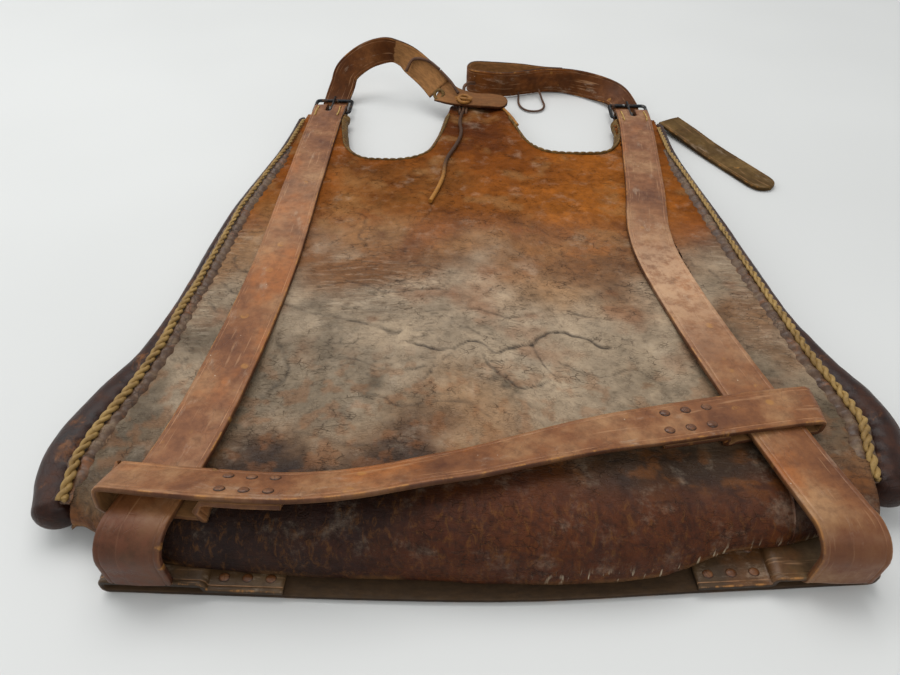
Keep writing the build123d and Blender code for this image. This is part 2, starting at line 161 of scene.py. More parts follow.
def smooth_line(points, step=2.0):
    """Curve through the points, in even steps."""
    p = np.array(points, float)
    p = np.vstack([2 * p[0] - p[1], p, 2 * p[-1] - p[-2]])
    t = np.linspace(0, 1, 20, endpoint=False)[:, None]
    spans = [0.5 * (2 * b + (c - a) * t + (2 * a - 5 * b + 4 * c - d) * t ** 2
                    + (3 * b - a - 3 * c + d) * t ** 3) for a, b, c, d in zip(p, p[1:], p[2:], p[3:])]
    return resample(np.vstack(spans + [p[-2:-1]]), step)[0]


def folded(points, radii, step, closed=False):
    """Straight runs joined by arcs of the given radii, in even steps, for a strap's folds."""
    p = np.array(points, float)
    before, after = np.roll(p, 1, 0), np.roll(p, -1, 0)
    line = []
    for index, radius in enumerate(radii):
        if not radius:
            line.append(p[index:index + 1])
            continue
        u, v = unit(before[index] - p[index]), unit(after[index] - p[index])
        half = np.arccos(np.clip(u @ v, -1, 1)) / 2
        centre = p[index] + unit(u + v) * radius / sin(half)
        start, end = p[index] + u * radius / np.tan(half), p[index] + v * radius / np.tan(half)
        t = np.linspace(0, 1, 9)[:, None]
        line.append(centre + unit((start - centre) * (1 - t) + (end - centre) * t) * radius)
    line = np.vstack(line)
    if closed:
        line = np.vstack([line, line[:1]])
    return resample(line, step)[0]


# ---- meshes ----
def new_object(name, data):
    obj = bpy.data.objects.new(name, data)
    bpy.context.scene.collection.objects.link(obj)
    return obj


def grid_faces(rows, columns, wrap_rows=False, wrap_columns=False, start=0):
    r = np.arange(rows if wrap_rows else rows - 1)
    c = np.arange(columns if wrap_columns else columns - 1)
    r, c = np.meshgrid(r, c, indexing="ij")
    r2, c2 = (r + 1) % rows, (c + 1) % columns
    quads = np.stack([r * columns + c, r * columns + c2, r2 * columns + c2, r2 * columns + c], -1)
    return (start + quads.reshape(-1, 4)).tolist()


class Shape:
    """Points, faces and point fields gathered before they become one piece."""

    def __init__(self):
        self.points, self.faces, self.fields, self.count = [], [], {}, 0

    def grid(self, points, wrap_rows=False, wrap_columns=False, caps=False, flip=False, **fields):
        """Adds a grid of points, closed along its rows or columns or capped at its ends."""
        rows, columns = points.shape[:2]
        faces = grid_faces(rows, columns, wrap_rows, wrap_columns, self.count)
        if caps:
            faces.append([self.count + k for k in range(columns)][::-1])
            faces.append([self.count + (rows - 1) * columns + k for k in range(columns)])
        self.faces += [face[::-1] for face in faces] if flip else faces
        self.points.append(points.reshape(-1, 3))
        for name, value in fields.items():
            size = (3,) if name == "tint" or name == "place" else ()
            value = np.broadcast_to(value, (rows, columns) + size)
            self.fields.setdefault(name, []).append(value.reshape((-1,) + size))
        self.count += rows * columns
        return self

    def piece(self, name, material, body, slot, replaced=()):
        """Makes the mesh object and says which body and CAD nodes it stands for; the record slot is not used.
        """
        mesh = bpy.data.meshes.new(name)
        mesh.from_pydata((np.vstack(self.points) * MM).tolist(), [], self.faces)
        for field, values in self.fields.items():
            values = np.concatenate(values).astype(np.float32)
            if field == "tint":
                layer = mesh.attributes.new(field, "FLOAT_COLOR", "POINT")
                layer.data.foreach_set("color", np.c_[values, np.ones(len(values))].ravel())
            elif field == "place":
                layer = mesh.attributes.new(field, "FLOAT_VECTOR", "POINT")
                layer.data.foreach_set("vector", (values * MM).ravel())
            else:
                layer = mesh.attributes.new(field, "FLOAT", "POINT")
                layer.data.foreach_set("value", values)
        mesh.polygons.foreach_set("use_smooth", [True] * len(mesh.polygons))
        mesh.materials.append(material)
        mesh.validate()
        mesh.update()
        obj = new_object(name, mesh)
        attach(obj, body)
        if replaced:
            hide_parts(*replaced)
        return obj


def strap_section(width, thickness):
    """Cross-section of a strap: (across, height, millimetres from the edge, 1 on the flesh side)."""
    near = np.array((0, 0.25, 0.8, 1.6, 2.6, 3.1, 3.5, 3.9, 4.6, 6.5))
    top_in = np.r_[near, np.linspace(9, width / 2, 4)]
    arris = 1.3 * (1 - np.sqrt(1 - np.clip(1 - top_in / 1.8, 0, 1) ** 2))
    groove = 0.4 * np.exp(-((top_in - 3.5) / 0.35) ** 2)
    crown = 0.35 * smoothstep(0, width / 2, top_in)
    top = thickness / 2 - 0.2 - arris - groove + crown
    low_in = np.array((0, 0.4, 1.2, 3.5, 8, width / 2))
    low = -thickness / 2 + 0.7 * (1 - np.sqrt(1 - np.clip(1 - low_in / 1.2, 0, 1) ** 2))
    across = np.r_[-width / 2 + top_in, width / 2 - top_in[-2::-1],
                   width / 2 - low_in, -width / 2 + low_in[-2::-1]]
    height = np.r_[top, top[-2::-1], low, low[-2::-1]]
    edge = np.r_[top_in, top_in[-2::-1], low_in, low_in[-2::-1]]
    flesh = np.r_[np.zeros(2 * len(top_in) - 1), np.ones(2 * len(low_in) - 1)]
    return across, height, edge, flesh


def strap_grid(path, across, width, thickness, seed, closed=False, narrowing=None, wave=0.5, turned=None,
               shade=None, dust=None):
    """One strap along a path; across points from its first edge to its second.

    Functions of the path say where it shows its flesh side (turned), where painted shade darkens it and where
    a painted highlight lightens it.
    """
    tangent = unit(np.roll(path, -1, 0) - np.roll(path, 1, 0) if closed else np.gradient(path, axis=0))
    across = np.broadcast_to(np.asarray(across, float), path.shape)
    across = unit(across - (across * tangent).sum(1, keepdims=True) * tangent)
    up = np.cross(across, tangent)
    offset, height, edge, flesh = strap_section(width, thickness)
    along = np.r_[0, np.cumsum(np.linalg.norm(np.diff(path, axis=0), axis=1))]
    s, o = np.meshgrid(along, offset, indexing="ij")
    if closed:
        s = np.minimum(s, along[-1] + 2 - s)
    share = np.ones(len(path)) if narrowing is None else narrowing(along)
    breadth = o * (share[:, None] + 0.012 * fractal(s, np.sign(o) * 40, 26, seed + 9, 3))
    lift = height[None] + wave * fractal(s, o, 60, seed, 3) + 0.12 * fractal(s, o, 7, seed + 5, 3)
    points = path[:, None] + across[:, None] * breadth[..., None] + up[:, None] * lift[..., None]
    place = xyz(o, s, seed * 37.0)
    turned, shade, dust = (0.0 if share is None else share(path)[:, None] for share in (turned, shade, dust))
    return Shape().grid(points, wrap_rows=closed, wrap_columns=True, caps=not closed, edge=edge[None],
                        flesh=flesh + (1 - 2 * flesh) * turned, place=place, shade=shade, dust=dust)


def tube_grid(shape, line, radius, segments):
    """Adds a closed tube along a line; radius may vary along it or over its whole grid."""
    tangent = unit(np.gradient(line, axis=0))
    side = unit(np.cross(tangent, (0, 0, 1.0)) + 1e-6)
    up = np.cross(side, tangent)
    angle = np.linspace(0, 2 * pi, segments, endpoint=False)
    radius = np.asarray(radius, float)
    if radius.ndim < 2:
        radius = np.broadcast_to(radius, (len(line),))[:, None]
    ring = side[:, None] * np.cos(angle)[None, :, None] + up[:, None] * np.sin(angle)[None, :, None]
    return shape.grid(line[:, None] + ring * radius[..., None], wrap_columns=True, caps=True)


# ---- the pad's surfaces ----
def rib_value(x, y, knots, column):
    """Value between the ribs at |x|, and between their knots along y."""
    distance = np.abs(x)
    values = [np.interp(y, knots, rib[column]) for rib in ribs]
    result = values[0]
    for (low, *_), (high, *_), value in zip(ribs, ribs[1:], values[1:]):
        result = result + (value - result) * smoothstep(low, high, distance)
    return result


def strap_top(y):
    return front_level - front_slope * y


def front_height(x, y):
    """Height of the front hide before its folds and wrinkles."""
    return strap_top(y) - rib_value(x, y, front_knots, 1)


def back_height(x, y):
    return rib_value(x, y, back_knots, 2)


creases = (  # deep folds of the front: lines, width and depth
    (((-53, -125), (-27, -133), (-5, -126), (16, -138), (39, -126), (61, -115), (83, -120), (97, -127)),
     1.9, 1.5),
    (((-164, -84), (-130, -92), (-92, -108), (-58, -117)), 2.4, 0.9),
    (((2, -139), (16, -159), (29, -171), (51, -160)), 1.6, 1.1),
    (((-120, -30), (-96, -24), (-70, -34), (-44, -30), (-18, -40)), 2.2, 0.7),
    (((-130, -62), (-100, -56), (-66, -66), (-30, -62)), 2.0, 0.8),
    (((-40, -92), (-8, -88), (28, -98), (60, -90), (104, -96)), 1.8, 0.8),
    (((-96, -146), (-66, -156), (-36, -152)), 1.8, 0.9),
    (((-80, -178), (-50, -190), (-20, -184), (8, -196)), 2.2, 0.7),
    (((60, -142), (84, -156), (112, -150), (132, -160)), 1.8, 0.8),
    (((-20, -132), (-26, -150), (-40, -166)), 1.5, 0.9),
    (((39, -126), (44, -144), (58, -158)), 1.4, 0.9),
    (((61, -115), (70, -100), (66, -84)), 1.4, 0.8),
    (((-148, -120), (-136, -150), (-146, -182)), 2.4, 0.8),
    (((-118, 62), (-104, 44), (-110, 20), (-98, -2)), 2.6, 0.7),
    (((-74, 108), (-52, 92), (-46, 66), (-54, 40)), 2.6, 0.6),
    (((96, 142), (112, 120), (108, 96)), 3.0, 0.6),
    (((-120, -214), (-80, -222), (-30, -214)), 2.4, 0.6),
    (((-214, -20), (-206, -38), (-196, -44)), 2.0, 0.8),
    (((-212, -56), (-202, -66), (-194, -68)), 2.0, 0.8),
    (((-212, -84), (-204, -94), (-194, -98)), 2.0, 0.8),
    (((202, -20), (208, -40), (222, -46)), 2.0, 0.7),
)


def line_distance(x, y, points):
    """Distance from every grid point to a line."""
    line = smooth_line(points, 4.0)
    best = np.full(x.shape, 1e9)
    for a, b in zip(line, line[1:]):
        run = b - a
        share = np.clip(((x - a[0]) * run[0] + (y - a[1]) * run[1]) / (run @ run), 0, 1)
        best = np.minimum(best, (x - a[0] - share * run[0]) ** 2 + (y - a[1] - share * run[1]) ** 2)
    return np.sqrt(best)


def front_surface(x, y):
    """Height of the worn front hide, and how deep in a crease or crack each point lies."""
    inner = smoothstep(215, 160, np.abs(x))
    rolling = 1.5 * fractal(x, y, 95, 11, 3) + 0.5 * fractal(x, y * 1.6, 26, 21, 3)
    worn = smoothstep(90, -10, y) * smoothstep(-290, -190, y)
    bent_x, bent_y = x + 7 * fractal(x, y, 22, 31, 3), y + 7 * fractal(x, y, 22, 41, 3)
    cracks = np.exp(-(cell_edges(bent_x * 0.7, bent_y * 1.9, 13, 51) / 0.085) ** 2)
    fine = np.exp(-(cell_edges(bent_x * 0.6, bent_y * 2.1, 6.5, 61) / 0.14) ** 2)
    patch = smoothstep(-0.35, 0.35, fractal(x, y, 70, 71, 2))
    partly = smoothstep(-0.1, 0.35, fractal(x, y, 9, 341, 2))
    depth = worn * (0.55 * cracks * patch * partly + 0.24 * fine * (1 - 0.8 * partly))
    depth = depth + 0.06 * (1 - worn) * fine * partly
    broken = 0.45 + 0.55 * smoothstep(-0.5, 0.2, fractal(x, y, 13, 311, 2))
    for points, width, deep in creases:
        distance = line_distance(bent_x, bent_y, points) / (0.62 * width)
        depth = depth + 0.72 * deep * broken * (np.exp(-distance ** 2)
                                                - 0.3 * np.exp(-((distance - 3.2) / 1.8) ** 2))
    wrinkles = 0.42 * np.sin(y / 0.95 + 3.4 * fractal(x, y, 34, 81, 3)) * wrinkled(x, y)
    pull = smoothstep(150, 290, y) * smoothstep(60, 30, np.abs(x + 5))
    folds = pull * 1.5 * np.cos((x + 8) / 5.5 + 0.6 * fractal(x, y, 40, 91, 2))
    rise = (rolling + folds + wrinkles) * (0.25 + 0.75 * inner)
    return front_height(x, y) + rise - depth, np.clip(depth / 1.2, 0, 1) ** 1.25


def wrinkled(x, y):
    """Share of close, level wrinkles: strongest beside the left strap and along both outer edges."""
    inner = np.exp(-((x + 95) / 60) ** 2 - ((y + 55) / 48) ** 2)
    outer = smoothstep(198, 208, np.abs(x)) * smoothstep(-150, -110, y) * smoothstep(60, 10, y)
    return np.clip(inner + 0.8 * outer, 0, 1)


def pad_grid(step_across, step_along):
    """Grid over the pad's plan, in about the given steps.

    Gives each column's share of the half width, every point's y, and y and z of each column's lower edge.
    """
    outline = smooth_line(top_outline, 1.0)
    outline[:, 0] = np.maximum.accumulate(outline[:, 0])
    outline[:, 1] = np.minimum(outline[:, 1], 325.5)
    travel = np.r_[0, np.cumsum(np.hypot(*np.diff(outline, axis=0).T))]
    density = np.maximum(np.gradient(outline[:, 0], travel) / step_across, 1 / (step_across * 2.2))
    count = np.r_[0, np.cumsum((density[1:] + density[:-1]) / 2 * np.diff(travel))]
    wanted = np.linspace(0, count[-1], int(count[-1]) + 1)
    x_top, y_top = np.interp(wanted, count, outline[:, 0]), np.interp(wanted, count, outline[:, 1])
    shares = np.maximum.accumulate(x_top / half_width(x_top, y_top))
    nose = smooth_line(nose_outline, 4.0)
    x_low = shares * half_width(shares, np.full_like(shares, -280.0))
    y_low = np.interp(x_low, nose[:, 0], nose[:, 1])
    z_low = np.interp(x_low, nose[:, 0], nose[:, 2])
    rows = int(590 / step_along)
    t = np.linspace(0, 1, rows)[:, None]
    y = y_top[None] + (y_low + nose_reach - y_top)[None] * t
    return shares, y, y_low, z_low


def half_width(side_of, y):
    """Distance from the middle to the hides' edge beside the roll."""
    left, right = (np.interp(-y, -line[:, 0], line[:, 1] - line[:, 3] - 1.0) for line in roll_lines.values())
    return np.where(side_of < 0, left, right)


def roll_at(side, y):
    """A roll's distance from the middle, height and radius."""
    line = roll_lines[side]
    return [np.interp(-y, -line[:, 0], line[:, k]) for k in (1, 2, 3)]


# ---- colours ----
def tone(red, green, blue):
    return np.array(((red / 255) ** 2.2, (green / 255) ** 2.2, (blue / 255) ** 2.2))


# the pale grey tone for the middle of the front hide is dirt, made paler as a painted sheen
tones = {
    "rust": tone(120, 66, 24), "orange": tone(150, 88, 34), "umber": tone(76, 40, 12),
    "brown": tone(112, 72, 36), "tan": tone(140, 102, 64), "dusty": tone(158, 138, 114),
    "grey": tone(136, 118, 96), "dark": tone(82, 70, 54), "black": tone(34, 23, 13),
}
# patches of the front hide: (x, y), reach across and along, tone and strength; the small ones weigh more
# than the bands they lie on
local_weight = 2.6
patches = (
    ((0, 170), (240, 110), "rust", 1.0), ((0, 50), (240, 90), "rust", 0.8),
    # the pale grey patches in the next two rows are dirt with a painted sheen
    ((0, 10), (240, 60), "brown", 1.2), ((10, -90), (200, 46), "dusty", 1.1),
    ((0, -140), (230, 60), "grey", 0.9), ((-40, -168), (150, 34), "dusty", 1.8),
    ((0, -275), (240, 36), "umber", 1.1), ((0, -215), (230, 30), "brown", 0.4),
    ((120, 110), (50, 80), "orange", 0.8), ((80, 60), (60, 50), "orange", 0.6),
    ((-60, 120), (60, 60), "brown", 0.8), ((-110, 110), (34, 40), "tan", 0.7),
    ((-5, 270), (40, 45), "umber", 1.0), ((10, 215), (50, 30), "umber", 0.7),
    ((-110, 40), (40, 40), "tan", 0.8), ((-110, -40), (40, 40), "brown", 0.9),
    ((-30, 30), (50, 40), "rust", 0.6), ((-50, -30), (40, 24), "brown", 0.8),
    ((30, -10), (60, 26), "tan", 0.8), ((70, -20), (40, 24), "brown", 0.8),
    ((125, -30), (26, 50), "brown", 0.8), ((60, -60), (40, 20), "tan", 0.6),
    ((-120, -165), (44, 34), "dark", 0.7), ((-70, -195), (44, 22), "dark", 0.35),
    ((-140, -140), (24, 40), "dark", 0.4), ((-30, -190), (50, 24), "tan", 0.6),
    ((-110, -255), (80, 24), "black", 1.6), ((120, -225), (60, 20), "black", 1.2),
    ((20, -250), (50, 20), "umber", 1.4), ((70, -185), (60, 24), "grey", 0.8),
    ((-206, 110), (16, 70), "rust", 1.0), ((-212, 10), (18, 60), "tan", 0.9),
    ((-220, -80), (20, 40), "grey", 1.1), ((-222, -150), (20, 40), "dark", 0.9),
    ((-225, -215), (26, 40), "dark", 1.3), ((-240, -262), (22, 20), "rust", 1.2),
    ((208, 150), (16, 60), "brown", 0.9), ((205, 50), (20, 50), "rust", 0.8),
    ((60, 150), (60, 26), "umber", 0.35), ((-100, 160), (40, 24), "umber", 0.35),
    ((208, -40), (22, 40), "grey", 0.9), ((226, -100), (20, 30), "brown", 0.9),
    ((-160, -285), (60, 26), "black", 3.0), ((225, -160), (26, 40), "dark", 0.8),
    ((-30, -290), (170, 9), "umber", 1.2), ((-212, 70), (20, 40), "brown", 0.7),
)
spots = (  # small dark or rusty stains: x, y, reach, tone
    (-53, 20, 5, "umber"), (-45, -27, 6, "umber"), (-65, -80, 5, "dark"), (-113, 65, 8, "rust"),
    (54, 11, 6, "rust"), (2, -182, 9, "dark"), (112, -163, 9, "dark"), (1, 120, 14, "rust"),
    (105, -2, 13, "orange"), (75, 46, 12, "orange"), (-150, 114, 10, "rust"), (-100, -171, 9, "dark"),
    (-70, 140, 9, "umber"), (130, 84, 9, "umber"), (84, 170, 10, "orange"), (-143, -235, 14, "black"),
    (-88, 96, 6, "umber"), (-30, 60, 5, "umber"), (18, 84, 5, "umber"), (-120, 150, 7, "umber"),
)


def tinted(colour, name, share, light=1.0):
    """The colours, moved toward a tone by the share at each point."""
    return colour + (tones[name] * light - colour) * share[..., None]


def hide_tint(x, y, depth):
    """Colour of the front hide: listed patches bent by noise, stains, and painted shade in its cracks and
    creases.
    """
    px, py = x + 60 * fractal(x, y, 90, 101, 6), y + 64 * fractal(x, y, 90, 111, 6)
    total = np.zeros(x.shape + (3,))
    weight = np.full(x.shape, 1e-6)
    for (cx, cy), (wide, long), name, strength in patches:
        reach = ((px - cx) / wide) ** 2 + ((py - cy) / long) ** 2
        amount = strength * np.exp(-reach * 1.3) * (local_weight if wide < 100 else 1)
        total += amount[..., None] * tones[name]
        weight += amount
    colour = total / weight[..., None]
    for cx, cy, reach, name in spots:
        near = np.exp(-(((px - cx) ** 2 + (py - cy) ** 2) / (1.6 * reach) ** 2))
        colour = tinted(colour, name, 0.75 * near * smoothstep(-0.5, 0.3, fractal(x, y, 7, 121, 3)))
    mottle = fractal(x, y, 18, 131, 5)
    colour *= (1 + 0.4 * mottle + 0.18 * fractal(x, y, 4, 141, 3))[..., None]
    for name, place, size, low in (("umber", 900, 22, 0.22), ("tan", 1700, 28, 0.12)):
        stain = smoothstep(low, low + 0.35, fractal(x + place, y, size, 351 + place, 5))
        colour = tinted(colour, name, 0.5 * stain * smoothstep(-40, 30, y))
    rusty = smoothstep(0.15, 0.6, fractal(x + 300, y, 34, 151, 5)) * smoothstep(-230, -80, y)
    colour = tinted(colour, "rust", 0.5 * rusty)
    # dirt over the middle of the hide, made paler still as a painted sheen
    dusty = smoothstep(0.1, 0.6, fractal(x, y + 500, 44, 161, 5)) * smoothstep(50, -30, y)
    colour = tinted(colour, "dusty", 0.45 * dusty * smoothstep(-240, -190, y), 1.15)
    ochre = smoothstep(0.05, 0.35, fractal(x - 200, y, 8, 331, 4)) * smoothstep(-120, -170, y)
    colour = tinted(colour, "orange", 0.3 * ochre * smoothstep(-262, -236, y), 0.75)
    # painted shade: darker the deeper a crack or crease sinks
    return np.clip(colour * (1 - 0.6 * depth[..., None]), 0.004, 1)


# ---- materials ----
class Shader:
    """A Principled material and the few node helpers that all materials here are made of.

    A share, from 0 to 1, is a number or the output of a node.
    """

    def __init__(self, name):
        self.material = bpy.data.materials.new(name)
        self.material.use_nodes = True
        self.tree = self.material.node_tree
        self.tree.nodes.clear()
        self.surface = self.node("ShaderNodeBsdfPrincipled")
        output = self.node("ShaderNodeOutputMaterial")
        self.tree.links.new(self.surface.outputs[0], output.inputs[0])
        self.coords = self.node("ShaderNodeTexCoord").outputs["Object"]
        self.normal = self.colour = None

    def node(self, kind, inputs=None, **settings):
        node = self.tree.nodes.new(kind)
        for key, value in settings.items():
            setattr(node, key, value)
        self.fill(node, inputs or {})
        return node

    def fill(self, node, inputs):
        for key, value in inputs.items():
            if isinstance(value, bpy.types.NodeSocket):
                self.tree.links.new(value, node.inputs[key])
            else:
                node.inputs[key].default_value = value

    def field(self, name, output="Fac"):
        return self.node("ShaderNodeAttribute", attribute_name=name).outputs[output]

    def stretched(self, x, y, z):
        return self.node("ShaderNodeMapping", {"Vector": self.coords, "Scale": (x, y, z)}).outputs[0]

    def noise(self, size, detail=4.0, rough=0.6, source=None, distortion=0.0):
        """Noise whose grains are about size millimetres."""
        return self.node("ShaderNodeTexNoise", {
            "Vector": source or self.coords, "Scale": 1000 / size, "Detail": detail,
            "Roughness": rough, "Distortion": distortion}).outputs["Fac"]

    def cells(self, size, feature="DISTANCE_TO_EDGE", source=None):
        """Random cells about size millimetres across."""
        return self.node("ShaderNodeTexVoronoi", {
            "Vector": source or self.coords, "Scale": 1000 / size}, feature=feature).outputs["Distance"]

    def span(self, value, low, high, start=0.0, end=1.0):
        """Maps value from low..high to start..end, smoothly and clamped."""
        return self.node("ShaderNodeMapRange", {
            "Value": value, "From Min": low, "From Max": high, "To Min": start, "To Max": end},
            interpolation_type="SMOOTHSTEP").outputs["Result"]

    def fade(self, value, low, high):
        """1 up to low, falling smoothly to 0 at high."""
        return self.span(value, low, high, 1.0, 0.0)

    def math(self, operation, a, b=0.0):
        return self.node("ShaderNodeMath", {0: a, 1: b}, operation=operation).outputs[0]

    def times(self, product, *shares):
        for share in shares:
            product = self.math("MULTIPLY", product, share)
        return product

    def ramp(self, value, *stops):
        node = self.node("ShaderNodeValToRGB", {"Fac": value})
        ramp = node.color_ramp
        while len(ramp.elements) < len(stops):
            ramp.elements.new(0.5)
        for element, (position, colour) in zip(ramp.elements, stops):
            element.position = position
            element.color = (*colour, 1)
        return node.outputs["Color"]

    def mix(self, amount, a, b, mode="MIX"):
        colours = {key: value if isinstance(value, bpy.types.NodeSocket) else (*value, 1)
                   for key, value in ((6, a), (7, b))}
        return self.node("ShaderNodeMix", {0: amount, **colours}, data_type="RGBA",
                         blend_type=mode).outputs[2]

    def paint(self, colour, *shares):
        """Lays a colour over what the surface has so far, by the product of the shares."""
        self.colour = self.mix(self.times(*shares), self.colour, colour)

    def bump(self, height, depth, strength=1.0):
        """Adds a bump of depth millimetres to what the surface has so far."""
        inputs = {"Height": height, "Distance": depth * MM, "Strength": strength}
        if self.normal:
            inputs["Normal"] = self.normal
        self.normal = self.node("ShaderNodeBump", inputs).outputs[0]
        self.tree.links.new(self.normal, self.surface.inputs["Normal"])

    def done(self, roughness, specular=0.5, metallic=0.0, sheen=0.0):
        self.fill(self.surface, {
            "Base Color": self.colour, "Roughness": roughness, "Specular IOR Level": specular,
            "Metallic": metallic, "Sheen Weight": sheen})
        return self.material


def hide_leather():
    s = Shader("front_hide_leather")
    tint, nose = s.field("tint", "Color"), s.field("nose")
    fine = s.noise(2.2, 6, 0.7)
    blotch = s.noise(9, 6, 0.68)
    mottled = s.mix(s.span(blotch, 0.3, 0.75, 0.0, 0.6), tint, tones["umber"], "MULTIPLY")
    s.colour = s.mix(s.span(blotch, 0.3, 0.75, 0.0, 0.4), tint, mottled)
    pale = s.mix(0.35, tint, tone(196, 176, 152))
    s.paint(pale, s.span(s.noise(26, 8, 0.72), 0.52, 0.72, 0.0, 0.55))

    wrinkle = s.noise(3.4, 4, 0.6, s.stretched(0.16, 1, 1), 0.7)
    ridges = s.times(s.span(wrinkle, 0.5, 0.62), s.field("wrinkled"))
    valleys = s.times(s.fade(wrinkle, 0.4, 0.5), s.field("wrinkled"))
    # painted highlight on the wrinkles' ridges and painted shade in their valleys
    s.paint(pale, ridges, 0.6)
    s.paint(tone(80, 56, 36), valleys, 0.5)

    sway = s.node("ShaderNodeVectorMath", {
        0: s.node("ShaderNodeTexNoise", {"Vector": s.coords, "Scale": 90, "Detail": 3}).outputs["Color"],
        1: (0.008, 0.008, 0.008)}, operation="MULTIPLY").outputs[0]
    bent = s.node("ShaderNodeVectorMath", {0: s.stretched(0.55, 1.3, 1), 1: sway},
                  operation="ADD").outputs[0]
    broken = s.times(s.span(s.noise(9, 4), 0.44, 0.6), s.span(s.noise(42, 3), 0.42, 0.58))
    crack = s.times(s.fade(s.cells(5.5, source=bent), 0.0, 0.06), broken)
    hair = s.times(s.fade(s.cells(2.2, source=bent), 0.0, 0.12), s.span(s.noise(7, 4), 0.35, 0.6))
    s.paint(tone(48, 32, 20), crack, 0.6)
    s.paint(tone(60, 40, 26), hair, 0.3)
    # painted shade in the creases and cracks, by how deep they sink
    s.paint(tone(30, 20, 13), s.field("crease"), 0.8)
    pores = s.fade(s.cells(3.2, "F1"), 0.0, 0.16)
    s.paint(tone(58, 34, 18), pores, s.span(s.noise(18, 3), 0.55, 0.68), 0.7)

    streak = s.noise(4.6, 7, 0.74, s.stretched(1, 0.45, 0.45), 0.9)
    s.paint(tone(122, 80, 36), s.span(streak, 0.5, 0.66), nose, 0.3)
    s.paint(tone(34, 24, 15), s.fade(streak, 0.34, 0.48), nose, 0.4)
    scratch = s.noise(2.4, 2, 0.5, s.stretched(1, 0.16, 0.16))
    s.paint(tone(196, 180, 152), s.span(scratch, 0.6, 0.66), s.field("rubbed"), 0.6)

    s.bump(crack, -0.5, 0.8)
    s.bump(hair, -0.22, 0.7)
    s.bump(fine, 0.35, 0.5)
    s.bump(ridges, 0.8, 0.8)
    s.bump(s.noise(2.6, 3, 0.5, s.stretched(0.22, 1, 1), 0.4), 0.9, 0.55)
    s.bump(s.times(streak, nose), 0.9, 0.6)
    return s.done(s.span(blotch, 0.3, 0.7, 0.46, 0.68), s.span(s.field("shine"), 0.0, 1.0, 0.03, 0.25))


def strap_leather(name, low, middle, high, orange, flesh, crack_share=0.2, gloss=0.42, specular=0.28,
                   spotted=0.45):
    """Harness leather: mottled grain side, worn arrises, scored lines, cracks and a fibrous flesh side."""
    s = Shader(name)
    s.coords = s.field("place", "Vector")
    edge, back = s.field("edge"), s.field("flesh")
    large, small = s.noise(46, 6, 0.62), s.noise(7, 6, 0.7)
    s.colour = s.ramp(large, (0.3, low), (0.5, middle), (0.7, high))
    patch = s.span(s.noise(70, 5, 0.6, s.stretched(1, 0.6, 1)), 0.54, 0.66)
    s.paint(orange, patch, 0.65)
    s.paint(low * 0.7, s.span(small, 0.35, 0.75, 0.0, 0.5))
    scuff = s.span(s.noise(16, 7, 0.75, s.stretched(1, 0.35, 1)), 0.56, 0.7)
    s.paint(tone(168, 146, 124), scuff, 0.4)
    s.paint(tone(172, 118, 62), s.fade(edge, 0.5, 1.7), s.span(s.noise(14, 6, 0.75), 0.48, 0.62, 0.0, 0.85))
    line = s.fade(s.math("ABSOLUTE", s.math("SUBTRACT", edge, 3.5)), 0.1, 0.5)
    s.paint(tone(182, 134, 96), line, s.span(s.noise(20, 4, 0.6), 0.42, 0.62, 0.1, 0.5))
    crack = s.fade(s.cells(7, source=s.stretched(1.6, 0.8, 1)), 0.0, 0.05)
    crack = s.times(crack, s.span(s.noise(34, 3, 0.5), 0.5, 0.62, 0.0, crack_share))
    s.paint(low * 0.35, crack)
    s.paint(tone(214, 200, 178), s.fade(s.cells(9, "F1"), 0.0, 0.07),
            s.span(s.noise(30, 3, 0.5), 0.57, 0.62))
    scratch = s.span(s.noise(3.0, 3, 0.6, s.stretched(1, 0.06, 1)), 0.62, 0.7, 0.0, 0.35)
    s.paint(tone(176, 134, 98), scratch)
    fibre = s.noise(2.5, 5, 0.7, s.stretched(1, 0.3, 1))
    rough_side = s.mix(s.span(fibre, 0.3, 0.7), flesh * 0.62, flesh)
    s.paint(rough_side, s.span(s.math("ADD", back, s.span(small, 0.3, 0.7, -0.25, 0.25)), 0.35, 0.65))
    # painted highlight where a main strap's top bends toward the light, broken up by noise
    s.paint(tone(198, 160, 126), s.field("dust"), s.span(s.noise(11, 7, 0.72), 0.34, 0.6, 0.25, 0.85))
    s.paint(low * 0.62, s.fade(edge, 0.1, 0.5), s.span(large, 0.42, 0.6, 0.95, 0.6))
    # painted shade: dark red-brown laid on where the shade field says, as at the main straps' turn under the
    # thick end
    painted_shade_colour = s.mix(s.span(small, 0.3, 0.7), tone(50, 26, 18), tone(92, 54, 38))
    s.paint(painted_shade_colour, s.field("shade"), 0.85)
    s.paint(tone(176, 124, 62), s.fade(s.cells(24, "F1"), 0.1, 0.16), s.span(small, 0.42, 0.56), spotted)
    s.bump(crack, -0.5, 0.8)
    s.bump(s.noise(0.9, 3, 0.6), 0.12, 0.5)
    s.bump(small, 0.3, 0.5)
    return s.done(s.math("ADD", s.span(small, 0.3, 0.7, gloss - 0.06, gloss + 0.14), s.times(back, 0.3)),
                  specular)


def simple_leather(name, low, middle, high, size=14, gloss=0.5, depth=0.4, pale=None, rimmed=False,
                   specular=0.4, cracked=0.6):
    """Leather of the small parts: mottled, creased and rubbed."""
    s = Shader(name)
    mottle = s.noise(size, 6, 0.68)
    s.colour = s.ramp(mottle, (0.3, low), (0.5, middle), (0.72, high))
    if pale is not None:
        s.paint(pale, s.span(s.noise(size * 1.7, 7, 0.72, distortion=0.6), 0.55, 0.7, 0.0, 0.75))
    crack = s.times(s.fade(s.cells(size * 0.35), 0.0, 0.08), s.span(s.noise(size * 2, 3), 0.42, 0.6))
    s.paint(low * 0.4, crack, cracked)
    if rimmed:
        s.paint(low * 0.25, s.field("rim"), 0.85)
    s.bump(crack, -depth * cracked, 0.8)
    s.bump(s.noise(1.6, 5, 0.7), depth * 0.6, 0.6)
    return s.done(s.span(mottle, 0.3, 0.7, gloss - 0.08, gloss + 0.16), specular)


